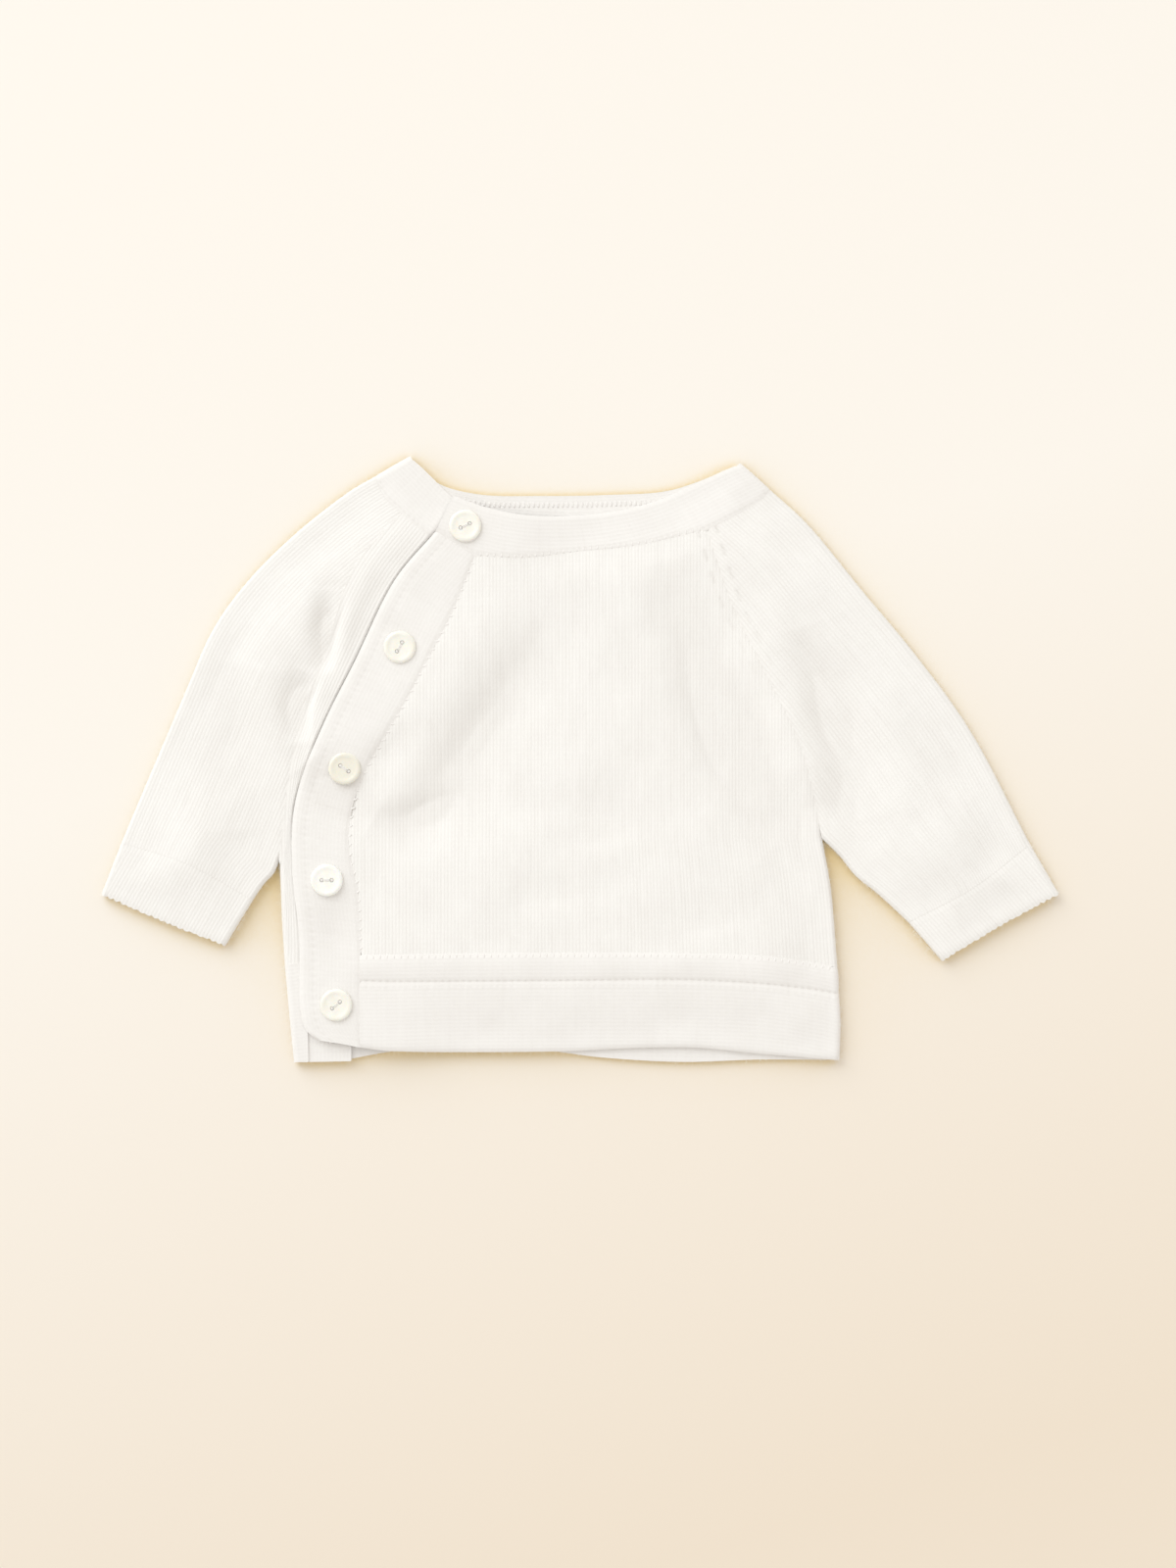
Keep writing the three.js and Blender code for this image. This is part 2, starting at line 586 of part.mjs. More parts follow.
// Neckband, from its buttoned end over both shoulders to its under end.
function neckband() {
  const profile = [
    { across: 0, raised: -0.2 },
    { across: 0.12, raised: 0.1 },
    { across: 0.5, raised: 0.25 },
    { across: 0.88, raised: 0.1 },
    { across: 1, raised: -0.2 },
  ];
  const steps = profile.map(({ across }) => across);
  const leftFold = beside(leftShoulderFold, -BAND_NOSE_REACH);
  const rightFold = beside(rightShoulderFold, BAND_NOSE_REACH);
  const frontSeam = joined(neckWrapSeam, joined(neckFrontSeam, neckLeftSleeveSeam, 12 / 16), 2 / 18);
  const backSeam = joined(neckBackLeftSeam, joined(neckBackSeam, neckBackRightSeam, 10 / 14), 4 / 18);
  const underSeam = joined(neckRightSleeveSeam, joined(neckUnderSeam, neckUnderWrapSeam, 3 / 5), 3 / 8);
  const front = laidOver(openSeams(spread({
    top: neckFrontEdge,
    bottom: frontSeam,
    left: neckWrapEnd,
    right: leftFold,
  }, evenShares(CELLS.neckFront), steps), ['bottom']), frontLevel(BAND_WALL));
  const back = laidUnder(openSeams(spread({
    top: neckBackEdge,
    bottom: backSeam,
    left: leftFold,
    right: rightFold,
  }, evenShares(CELLS.neckBack), steps), ['bottom']), BAND_WALL);
  const under = laidOver(openSeams(spread({
    top: neckUnderEdge,
    bottom: underSeam,
    left: rightFold,
    right: neckUnderEnd,
  }, evenShares(CELLS.neckUnder), steps), ['bottom']), underLevel(EDGE_LEVEL));
  const sheet = [
    ...front,
    ...halfTurn(front.at(-1), front.at(-2), BAND_WALL),
    ...back,
    ...halfTurn(under[0], under[1], BAND_WALL).reverse(),
    ...under,
  ];
  return clothMesh('neckband', raiseProfile(sheet, profile), BAND_WALL, BAND_KNIT);
}

// Hem, from the button band round both sides to the under band: a raised
// welt, a groove where it is sewn on, and the plain band below.
function hemBand() {
  const profile = [
    { across: 0, raised: 0 },
    { across: 0.06, raised: 0.4 },
    { across: 0.2, raised: 0.25 },
    { across: 0.28, raised: -0.6 },
    { across: 0.33, raised: 0.15 },
    { across: 0.42, raised: 0.35 },
    { across: 0.7, raised: 0.1 },
    { across: 0.95, raised: 0.15 },
    { across: 1, raised: -0.3 },
  ];
  const steps = profile.map(({ across }) => across);
  const leftFold = beside(leftHemFold, -BAND_NOSE_REACH);
  const rightFold = beside(rightHemFold, BAND_NOSE_REACH);
  const front = laidOver(openSeams(spread({
    top: frontWeltSeam,
    bottom: frontHem,
    left: wrapSeamBelow,
    right: leftFold,
  }, evenShares(CELLS.hemFront), steps), ['top', 'left']), frontLevel(BAND_WALL));
  const back = laidUnder(openSeams(spread({
    top: backWeltSeam,
    bottom: backHem,
    left: leftFold,
    right: rightFold,
  }, evenShares(CELLS.hemBack), steps), ['top']), BAND_WALL);
  const under = laidOver(openSeams(spread({
    top: underWeltSeam,
    bottom: underHem,
    left: rightFold,
    right: underFoot,
  }, evenShares(CELLS.hemUnder), steps), ['top', 'right']), underLevel(EDGE_LEVEL));
  const shown = [
    ...front,
    ...halfTurn(front.at(-1), front.at(-2), BAND_WALL),
    ...back,
    ...halfTurn(under[0], under[1], BAND_WALL).reverse(),
  ];
  return clothMesh('hem_band', [...raiseProfile(shown, profile), ...under], BAND_WALL, BAND_KNIT);
}

// Button band: the wrap's free edge, square at the neck and round at the foot.
function buttonBand() {
  const profile = [
    { across: 0, raised: -0.35 },
    { across: 0.1, raised: 0.1 },
    { across: 0.3, raised: BAND_CROWN },
    { across: 0.8, raised: BAND_CROWN },
    { across: 1, raised: -0.15 },
  ];
  const grid = openSeams(spread({
    top: wrapEdge,
    bottom: joined(wrapSeamAbove, wrapSeamBelow, 28 / 34),
    left: neckWrapSeam,
    right: wrapFoot,
  }, evenShares(CELLS.buttonBand), profile.map(({ across }) => across)), ['left', 'bottom']);
  const sheet = raiseProfile(laidOver(grid, frontLevel(BAND_WALL)), profile);
  return clothMesh('button_band', sheet, BAND_WALL, BAND_KNIT);
}

// Under band, below the button band, where the wrap's other end is.
function underBand() {
  const grid = openSeams(spread({
    top: joined(underEdge, underFoot, 23 / 28),
    bottom: underInner,
    left: neckUnderWrapSeam,
    right: line([-106.9, -118.9], [-90.1, -118.6]),
  }, evenShares(CELLS.underBandLength), evenShares(CELLS.underBandWidth)), ['left', 'top']);
  return clothMesh('under_band', laidOver(grid, () => UNDER_BAND_LEVEL), PANEL_WALL, BAND_KNIT);
}

// A two-hole button with a raised rim round a dished middle.
function buttonGeometry() {
  const profile = [
    { radius: 0, height: 0 },
    { radius: 5.2, height: 0 },
    { radius: 6.05, height: 0.45 },
    { radius: BUTTON_RADIUS, height: 1.25 },
    { radius: 6.1, height: 2.2 },
    { radius: 5.5, height: BUTTON_HEIGHT },
    { radius: 4.6, height: 2.35 },
    { radius: 3.8, height: 1.8 },
    { radius: 0, height: 1.7 },
  ].map(({ radius, height }) => new THREE.Vector2(radius, height));
  const disc = new THREE.LatheGeometry(profile, BUTTON_SEGMENTS).rotateX(Math.PI / 2);
  let solid = solidOf(disc);
  for (const side of [-1, 1]) {
    const drill = new THREE.CylinderGeometry(BUTTON_HOLE_RADIUS, BUTTON_HOLE_RADIUS, 2 * BUTTON_HEIGHT,
      HOLE_SEGMENTS)
      .rotateX(Math.PI / 2)
      .translate(side * BUTTON_HOLE_SPACING / 2, 0, BUTTON_HEIGHT / 2);
    solid = solid.subtract(solidOf(drill));
  }
  return geometryOf(solid);
}

function solidOf(geometry) {
  const bare = geometry.clone();
  bare.deleteAttribute('normal');
  bare.deleteAttribute('uv');
  const { attributes, index } = mergeVertices(bare, 1e-3);
  return new wasm.Manifold(new wasm.Mesh({
    numProp: 3,
    vertProperties: new Float32Array(attributes.position.array),
    triVerts: new Uint32Array(index.array),
  }));
}

function geometryOf(solid) {
  const { vertProperties, triVerts } = solid.getMesh();
  const geometry = new THREE.BufferGeometry();
  geometry.setAttribute('position', new THREE.Float32BufferAttribute(vertProperties, 3));
  geometry.setIndex(new THREE.Uint32BufferAttribute(triVerts, 1));
  geometry.computeVertexNormals();
  return geometry;
}

// Buttons from the neck down, each turned as it was sewn on.
const buttonPlaces = [
  { x: -45, y: 91.4, turn: 25 },
  { x: -70.7, y: 43.9, turn: 60 },
  { x: -92.4, y: -3.7, turn: -35 },
  { x: -99.3, y: -47.5, turn: 0 },
  { x: -95.6, y: -96.4, turn: 40 },
];

function buttons() {
  return buttonPlaces.map(({ x, y, turn }, index) => {
    const mesh = new THREE.Mesh(buttonGeometry(), new THREE.MeshStandardMaterial(PEARL));
    mesh.name = `button_${index + 1}`;
    mesh.position.set(x, y, frontLevel(BAND_WALL)(x, y) + BAND_WALL / 2 + BAND_CROWN + SEAM_GAP);
    mesh.rotation.z = THREE.MathUtils.degToRad(turn);
    return mesh;
  });
}

const leftLines = {
  frontRaglan: leftRaglan,
  backRaglan: leftBackRaglan,
  frontNeck: neckLeftSleeveSeam,
  backNeck: neckBackLeftSeam,
  fold: leftSleeveFold,
  inner: leftSleeveInner,
  cuffSeam: leftCuffSeam,
  cuffFold: leftCuffFold,
  cuffInner: leftCuffInner,
  cuffEdge: leftCuffEdge,
};

const rightLines = {
  frontRaglan: rightRaglan,
  backRaglan: rightBackRaglan,
  frontNeck: reversed(neckRightSleeveSeam),
  backNeck: reversed(neckBackRightSeam),
  fold: rightSleeveFold,
  inner: rightSleeveInner,
  cuffSeam: rightCuffSeam,
  cuffFold: rightCuffFold,
  cuffInner: rightCuffInner,
  cuffEdge: rightCuffEdge,
};

const cardigan = new THREE.Group();
cardigan.add(
  backPanel(),
  frontPanel(),
  underFront(),
  sleeve('sleeve_left', leftLines, 1),
  sleeve('sleeve_right', rightLines, -1),
  neckband(),
  buttonBand(),
  underBand(),
  hemBand(),
  cuff('cuff_left', leftLines, 1),
  cuff('cuff_right', rightLines, -1),
  ...buttons(),
);

export default cardigan;
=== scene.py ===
"""A baby's wrap cardigan in fine knit, laid flat on its back and buttoned.

Every cloth piece is a grid of stitches laid over the form of its solid and
given the thickness of its wall. Lengths in the pattern are in millimetres,
and each piece is turned into metres as it is made.
"""
import math
from collections import namedtuple

import bmesh
import bpy
import numpy as np
from bpy.props import FloatProperty, FloatVectorProperty, PointerProperty
from mathutils import Matrix, Vector


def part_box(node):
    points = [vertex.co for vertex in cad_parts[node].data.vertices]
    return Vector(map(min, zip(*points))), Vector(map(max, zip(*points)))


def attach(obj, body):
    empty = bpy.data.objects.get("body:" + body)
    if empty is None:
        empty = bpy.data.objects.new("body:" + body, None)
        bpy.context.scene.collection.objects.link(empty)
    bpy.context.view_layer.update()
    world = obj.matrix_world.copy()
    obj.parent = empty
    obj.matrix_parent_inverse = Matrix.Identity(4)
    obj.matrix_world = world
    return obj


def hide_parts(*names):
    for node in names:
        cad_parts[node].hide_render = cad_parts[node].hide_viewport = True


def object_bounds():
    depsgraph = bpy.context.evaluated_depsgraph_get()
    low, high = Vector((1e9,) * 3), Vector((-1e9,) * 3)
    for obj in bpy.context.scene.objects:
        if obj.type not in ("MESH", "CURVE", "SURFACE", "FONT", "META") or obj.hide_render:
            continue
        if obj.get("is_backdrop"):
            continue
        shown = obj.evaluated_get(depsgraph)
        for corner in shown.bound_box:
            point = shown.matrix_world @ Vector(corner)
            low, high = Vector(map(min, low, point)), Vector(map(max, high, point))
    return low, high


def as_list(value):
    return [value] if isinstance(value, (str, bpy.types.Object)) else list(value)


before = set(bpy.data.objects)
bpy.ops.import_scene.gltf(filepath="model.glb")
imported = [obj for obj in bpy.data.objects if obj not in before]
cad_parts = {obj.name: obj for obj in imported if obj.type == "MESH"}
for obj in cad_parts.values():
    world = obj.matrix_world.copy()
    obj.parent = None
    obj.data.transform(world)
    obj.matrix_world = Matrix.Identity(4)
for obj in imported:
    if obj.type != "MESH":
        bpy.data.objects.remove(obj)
CAD_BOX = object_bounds()

bl_info = {
    "name": "Baby wrap cardigan",
    "version": (1, 0, 0),
    "blender": (4, 5, 0),
    "location": "View3D > Sidebar > Cardigan",
    "description": "Knits the pieces of a baby's wrap cardigan over their solids",
    "category": "Add Mesh",
}

MM = 0.001
TAU = 2 * math.pi

# ------------------------------------------------------------- pattern sizes

# Walls, and how far pieces keep apart and reach out to meet at a seam
PANEL_WALL = 1.5
BAND_WALL = 1.9
SEAM_GAP = 0.3
SEAM_MEET = 0.17

# Height of the middle of each layer over the surface
EDGE_LEVEL = 3.15
UNDER_BAND_LEVEL = 2.95
UNDER_LIP_LEVEL = 4.8
OVERLAP_LEVEL = 5.5

# The upper layer rises by the puff, inland from its edges, and is smooth there
PUFF = 2.9
PUFF_REACH = 28.0
INLAND_BLEND = 2.5
WANDER_RISE = 0.22
LOWEST_INLAND = 1e-30

# The wrap is held up and calm beside its edge, and eases off inland of that
OVERLAP_WIDTH = 26.0
OVERLAP_FADE = 34.0
OVERLAP_CALM = 0.4

# The under front dips beneath the wrap's edge and swells out beside it
UNDER_TUCK = 0.45
UNDER_RISE_REACH = 1.7
UNDER_LIP_REACH = 14.0

# Creases fade towards the edges and their own ends, and are darker where deep
FOLD_FADE = 10.0
CREASE_END_SHARE = 0.25
CREASE_SHADE = 0.13
DEEP_CREASE = 3.5

# Radius of the turn at a side seam, and of the nose at a fold
CURL = (EDGE_LEVEL - PANEL_WALL / 2 - SEAM_GAP) / 2 + PANEL_WALL / 2
NOSE = (EDGE_LEVEL + PANEL_WALL / 2) / 2
BAND_NOSE = (EDGE_LEVEL - BAND_WALL / 2) / 2 + BAND_WALL / 2

# Relief rises and sinks about this level of the stitches
LEG_LEVEL = 0.6

# How far a cuff's edge is uneven
CUFF_TEETH = 0.22

# How many stops a line is measured at, what share of it gives its heading, and
# how many runs go round the nose of a folded band
STOPS = 32
HEADING_REACH = 0.01
TURN_RUNS = 9

# Places closer than this are one, in metres
MERGE = 2e-6
SLIVER = 1e-6


def smooth(value):
    """An easy rise from 0 to 1."""
    value = np.clip(value, 0.0, 1.0)
    return value * value * (3 - 2 * value)


def wave(turns):
    """A wave from 0 to 1 that peaks once in each turn."""
    return 0.5 + 0.5 * np.cos(TAU * turns)


def spot(at, middle, width):
    """1 at the middle, falling away on both sides within about the width."""
    return np.exp(-(((at - middle) / width) ** 2))


# --------------------------------------------------------------- plan lines


def line(*bends):
    """A smooth line through x, y bends: shares of its length in, points out."""
    p = np.array(bends, float)
    p = np.vstack([2 * p[0] - p[1], p, 2 * p[-1] - p[-2]])
    share = np.linspace(0, 1, 24, endpoint=False)[:, None]
    runs = []
    for a, b, c, d in zip(p, p[1:], p[2:], p[3:]):
        before, here, after = (
            math.sqrt(max(np.linalg.norm(step), 1e-6)) for step in (b - a, c - b, d - c)
        )
        lead = ((b - a) / before - (c - a) / (before + here) + (c - b) / here) * here
        trail = ((c - b) / here - (d - b) / (here + after) + (d - c) / after) * here
        runs.append(
            b
            + lead * share
            + (3 * (c - b) - 2 * lead - trail) * share**2
            + (2 * (b - c) + lead + trail) * share**3
        )
    run = np.vstack([*runs, p[-2:-1]])
    length = np.append(0, np.cumsum(np.linalg.norm(np.diff(run, axis=0), axis=1)))
    length /= length[-1]

    def at(shares):
        shares = np.clip(shares, 0, 1)
        return np.stack([np.interp(shares, length, run[:, k]) for k in (0, 1)], -1)

    return at


def back_along(path):
    """The line run the other way."""
    return lambda shares: path(1 - np.asarray(shares, float))


def joined(first, second, joint):
    """One line after another, with the joint at a chosen share."""

    def at(shares):
        shares = np.asarray(shares, float)
        early = first(shares / joint)
        late = second((shares - joint) / (1 - joint))
        return np.where((shares <= joint)[..., None], early, late)

    return at


def heading(path, shares):
    """Unit directions along a line, taken a little way both ahead and behind."""
    run = path(np.minimum(shares + HEADING_REACH, 1)) - path(np.maximum(shares - HEADING_REACH, 0))
    return run / np.linalg.norm(run, axis=-1, keepdims=True)


def to_left(direction):
    """The directions turned a quarter to their left."""
    return np.stack([-direction[..., 1], direction[..., 0]], -1)


def beside(path, distance):
    """The line moved to its left, or to its right where distance is negative."""

    def at(shares):
        shares = np.asarray(shares, float)
        return path(shares) + distance * to_left(heading(path, shares))

    return at


def stops_of(path, stops=STOPS):
    """Points evenly along a line, with both its ends."""
    return path(np.linspace(0, 1, stops + 1))


def length_of(path):
    """The length of a line in millimetres."""
    return float(np.linalg.norm(np.diff(stops_of(path, 200), axis=0), axis=1).sum())


# Neck
neck_front_edge = line(
    (-49.7, 103), (-35, 98), (-19.3, 95.3), (7.3, 96.1), (28.5, 100.7), (49.7, 110), (63.1, 116.5),
)
neck_back_edge = line(
    (63.1, 116.5), (49.7, 110.3), (33.9, 105.3), (10.8, 103.8), (-14.2, 103.4), (-40.4, 104.1),
    (-56.6, 108.8), (-67, 119.2),
)
neck_under_edge = line((-67, 119.2), (-58.5, 110.7), (-51.2, 103.4), (-41.5, 97.4))
neck_wrap_seam = line((-56.6, 89.1), (-41.4, 79.5))
neck_front_seam = line((-41.4, 79.5), (-22.7, 78.7), (0.8, 81.4), (20.8, 83.4), (50, 89.9))
neck_left_sleeve_seam = line((50, 89.9), (61, 95.4), (71.6, 101.9), (75.1, 105.7))
neck_back_left_seam = line((75.1, 105.7), (71.6, 101.9), (64, 98.9), (54, 96.5))
neck_back_seam = line(
    (54, 96.5), (45.5, 94.1), (33, 89.8), (10.8, 87.8), (-14.2, 87.4), (-42, 88.4), (-62, 95.6),
)
neck_back_right_seam = line((-62, 95.6), (-71, 99.8), (-78.5, 107), (-80.9, 111.1))
neck_right_sleeve_seam = line((-80.9, 111.1), (-77.2, 102.9), (-70.1, 96.4))
neck_under_seam = line((-70.1, 96.4), (-63.9, 90.7), (-57, 85.6))
neck_under_wrap_seam = line((-57, 85.6), (-50, 81.9), (-45.5, 79.9))
left_shoulder_fold = line((63.1, 116.5), (75.1, 105.7))
right_shoulder_fold = line((-67, 119.2), (-80.9, 111.1))
neck_wrap_end = line((-49.7, 103), (-56.6, 89.1))
neck_under_end = line((-41.5, 97.4), (-45.5, 79.9))

# Raglans and sides
left_raglan = line((50, 89.9), (59.7, 61), (72.5, 34.5), (86.4, 6), (92.3, -16), (95.1, -31.2))
left_back_raglan = line((54, 96.5), (62.6, 62), (80, 14), (95.1, -31.2))
left_side = line((95.1, -31.2), (98.5, -50), (101.2, -81.8))
right_raglan = line(
    (-70.1, 96.4), (-88, 76), (-96, 55), (-102.3, 35), (-109, 19), (-112.6, 3), (-115.6, -17),
    (-118.2, -39.5),
)
right_back_raglan = line((-62, 95.6), (-80, 56), (-101, 8), (-118.2, -39.5))
right_side = line((-118.2, -39.5), (-117.4, -61), (-116.2, -81))

# Sleeves and cuffs
left_sleeve_fold = line(
    (75.1, 105.7), (89.3, 92.6), (110.9, 66.4), (132, 41), (153.2, 11.7), (176.9, -33.2),
)
left_sleeve_inner = line((95.1, -31.2), (102.2, -38.3), (108.5, -46.1), (116.4, -52.4), (129, -64))
left_cuff_seam = line((176.9, -33.2), (154, -50.5), (129, -64))
left_cuff_fold = line((176.9, -33.2), (182.5, -42.6), (188.3, -52.8))
left_cuff_inner = line((129, -64), (134.6, -72.2), (142.2, -79.2))
left_cuff_edge = line((188.3, -52.8), (165.5, -65.2), (142.2, -79.2))
right_sleeve_fold = line(
    (-80.9, 111.1), (-90.5, 105.5), (-112, 88.7), (-130.5, 70.3), (-144, 51.8), (-157, 22.5),
    (-180.4, -32.6),
)
right_sleeve_inner = line((-118.2, -39.5), (-120.6, -45), (-124.3, -49), (-128.6, -55.2))
right_cuff_seam = line((-180.4, -32.6), (-154, -41), (-128.6, -55.2))
right_cuff_fold = line((-180.4, -32.6), (-184.4, -43), (-188.3, -53))
right_cuff_inner = line((-128.6, -55.2), (-133.6, -65.5), (-139.5, -73.2))
right_cuff_edge = line((-188.3, -53), (-164, -63.6), (-139.5, -73.2))

# Wrap
wrap_edge = line(
    (-56.6, 89.1), (-72.4, 70.3), (-88.2, 38.3), (-98.9, 17.1), (-108.6, -5.5), (-112.4, -22),
    (-112.6, -45), (-109.9, -71), (-109.5, -98), (-107.2, -106.4), (-102.4, -110.2),
)
wrap_seam_above = line(
    (-41.4, 79.5), (-50.4, 57.4), (-58.9, 41.2), (-68.2, 23.4), (-76.3, 9.8), (-84.8, -5.2),
    (-90.2, -21.4), (-90.7, -36), (-87.4, -52), (-86.2, -77),
)
wrap_seam_below = line((-86.2, -77), (-86.5, -95), (-86.2, -113))
wrap_seam = joined(wrap_seam_above, wrap_seam_below, 28 / 34)
wrap_foot = line((-102.4, -110.2), (-94, -111.4), (-86.2, -113))
under_edge = line(
    (-57, 85.6), (-71, 67.6), (-86.6, 37.4), (-97.2, 16), (-106.9, -6.4), (-110.5, -22), (-110.6, -45),
    (-108.2, -71), (-107.9, -80),
)
under_foot = line((-107.9, -80), (-107.4, -98), (-106.9, -118.9))
under_inner = line(
    (-45.5, 79.9), (-57.8, 57.4), (-71, 30), (-82, 7), (-90.6, -10), (-92.9, -24), (-92.9, -45),
    (-90.6, -71), (-90.2, -98), (-90.1, -118.6),
)

# Welt and hem
front_welt_seam = line((-86.2, -77), (-40, -76.3), (40, -76.3), (74, -77.6), (101.2, -81.8))
back_welt_seam = line((101.2, -81.8), (0, -80), (-116.2, -81))
under_welt_seam = line((-116.2, -81), (-107.9, -80))
front_hem = line(
    (-86.2, -113), (-74.8, -114.4), (-12.3, -114.8), (27, -113.2), (46.6, -113.3), (66.2, -115.2),
    (102, -118.2),
)
back_hem = line(
    (102, -118.2), (70, -118.1), (40, -119), (9, -117.3), (-20, -113.9), (-70, -114.4), (-96, -118.6),
    (-112.6, -119.1),
)
under_hem = line((-112.6, -119.1), (-106.9, -118.9))
left_hem_fold = line((101.2, -81.8), (102.4, -102.2), (102, -118.2))
right_hem_fold = line((-116.2, -81), (-114.4, -101), (-112.6, -119.1))

# --------------------------------------------------------- height of layers


def nearest(stops, x, y):
    """How far the nearest place on a line is, how far to its side, and its share.

    The side runs from 1, square to the left of the line, to -1 on its right.
    """
    distance = np.full(x.shape, np.inf)
    side = np.ones(x.shape)
    share = np.zeros(x.shape)
    for index, (start, end) in enumerate(zip(stops, stops[1:])):
        run = end - start
        along = np.clip(((x - start[0]) * run[0] + (y - start[1]) * run[1]) / (run @ run), 0, 1)
        off_x = x - start[0] - along * run[0]
        off_y = y - start[1] - along * run[1]
        here = np.hypot(off_x, off_y)
        closer = here < distance
        distance = np.where(closer, here, distance)
        turned = (run[0] * off_y - run[1] * off_x) / (math.hypot(*run) * np.maximum(here, 1e-9))
        side = np.where(closer, turned, side)
        share = np.where(closer, (index + along) / (len(stops) - 1), share)
    return distance, side, share


def reach_of(path):
    """A function that gives how far places are from the line."""
    stops = stops_of(path)
    return lambda x, y: nearest(stops, x, y)[0]


LOW_EDGES = [
    stops_of(path)
    for path in (
        neck_front_edge, neck_under_edge, left_shoulder_fold, right_shoulder_fold,
        left_side, right_side,
        left_sleeve_fold, right_sleeve_fold, left_sleeve_inner, right_sleeve_inner,
        left_cuff_fold, right_cuff_fold, left_cuff_inner, right_cuff_inner,
        left_cuff_edge, right_cuff_edge, left_hem_fold, right_hem_fold, front_hem,
    )
]
WRAP_STOPS = stops_of(wrap_edge)
WRAP_END_STOPS = stops_of(neck_wrap_end)

# far is how many times wider a crease is on the side away from the window
Crease = namedtuple("Crease", "start bend end half_width rise far")
CREASES = [
    Crease((-28, 70), (-50, 38), (-76, 2), 11, 2.2, 1.0),
    Crease((-8, 56), (-43, 8), (-67, -28), 10, -3.6, 2.2),
    Crease((-46, -15), (-62, -25), (-88, -24), 6, -2.6, 2.4),
    Crease((-66, 12), (-76, 2), (-88, -8), 5, -1.8, 1.6),
    Crease((-108, -2), (-97, -16), (-82, -25), 8, -5.0, 1.6),
    Crease((-99, -46), (-95, -64), (-95, -84), 8, -2.6, 1.4),
    Crease((34, 78), (47, 25), (82, -42), 10, -3.4, 2.4),
    Crease((42, 34), (54, 0), (80, -32), 12, -2.7, 1.6),
    Crease((63, 58), (82, 14), (96, -34), 8, 1.2, 1.0),
    Crease((-38, -20), (-10, -17), (22, -21), 6, -0.6, 1.6),
    Crease((-6, -31), (9, -32), (25, -23), 6, -0.8, 1.6),
    Crease((-29, -56), (-8, -55), (13, -48), 6, -0.8, 1.6),
    Crease((36, -68), (50, -66), (67, -58), 6, -0.9, 1.6),
    Crease((87, 52), (100, 16), (110, -24), 8, -4.4, 2.0),
    Crease((125, 14), (139, 0), (149, -18), 8, -1.0, 1.5),
    Crease((149, -48), (161, -40), (169, -27), 6, -0.7, 1.5),
    Crease((-99, 66), (-101, 49), (-98, 33), 5, -4.4, 1.0),
    Crease((-107, 34), (-112, 22), (-110, 6), 6.5, -4.4, 1.0),
    Crease((-84, 70), (-91, 50), (-97, 34), 4, 0.9, 1.0),
    Crease((-98, 32), (-104, 20), (-104, 8), 4, 1.2, 1.0),
    Crease((-130, 36), (-138, 2), (-136, -28), 13, -3.0, 1.6),
    Crease((-152, 44), (-160, 18), (-168, 0), 9, -0.7, 1.4),
]


def folds(x, y):
    """How far the creases lift or sink the upper layer."""
    rise = np.zeros(x.shape)
    share = np.linspace(0, 1, 13)[:, None]
    for crease in CREASES:
        start, bend, end = (np.array(place, float) for place in crease[:3])
        stops = start * (1 - share) ** 2 + 2 * bend * share * (1 - share) + end * share**2
        distance, side, along = nearest(stops, x, y)
        ends = CREASE_END_SHARE + (1 - CREASE_END_SHARE) * np.sin(math.pi * along)
        width = crease.half_width * (1 + (crease.far - 1) * (0.5 + 0.5 * side))
        rise += crease.rise * np.exp(-((distance / width) ** 2)) * ends
    return rise


def crease_shade(x, y):
    """How dark cloth is deep in its creases, where little light gets in."""
    return CREASE_SHADE * np.clip(-folds(x, y) / DEEP_CREASE, 0, 1) ** 1.5


def outside_wrap(x, y):
    """How far a place is outside the wrap's free edge; inside is negative."""
    band, band_side, _ = nearest(WRAP_STOPS, x, y)
    neck, neck_side, _ = nearest(WRAP_END_STOPS, x, y)
    return -np.where(band < neck, np.sign(band_side) * band, np.sign(neck_side) * neck)


def upper_level(x, y, held=0.0):
    """The middle of the upper layer, held up by a share where it laps over."""
    close = sum(np.exp(-nearest(stops, x, y)[0] / INLAND_BLEND) for stops in LOW_EDGES)
    inland = -INLAND_BLEND * np.log(np.maximum(close, LOWEST_INLAND)) - CURL - SEAM_GAP
    loose = EDGE_LEVEL + PUFF * smooth(inland / PUFF_REACH)
    lifted = loose + (OVERLAP_LEVEL - loose) * held
    uneven = folds(x, y) + WANDER_RISE * wander(x, y)
    return lifted + uneven * smooth(inland / FOLD_FADE) * (1 - OVERLAP_CALM * held)


def lowest_over(wall):
    """The lowest middle that a layer can have over a lower one of that wall."""
    return wall + SEAM_GAP + wall / 2


def sleeve_level(x, y):
    """The middle of a sleeve's or cuff's upper layer."""
    return np.maximum(upper_level(x, y), lowest_over(PANEL_WALL))


def front_level(wall):
    """A function that gives the middle of the wide front and its bands."""

    def level(x, y):
        held = 1 - smooth((-outside_wrap(x, y) - OVERLAP_WIDTH) / OVERLAP_FADE)
        return np.maximum(upper_level(x, y, held), lowest_over(wall))

    return level


def under_level(lowest):
    """A function that gives the middle of what lies below the wrap."""

    def level(x, y):
        out = outside_wrap(x, y)
        full = np.maximum(upper_level(x, y), lowest_over(PANEL_WALL))
        lip = np.minimum(full, UNDER_LIP_LEVEL)
        shoulder = lip + (full - lip) * smooth(out / UNDER_LIP_REACH)
        return lowest + (shoulder - lowest) * smooth((out + UNDER_TUCK) / UNDER_RISE_REACH)

    return level


# ---------------------------------------------------------------- cloth grids


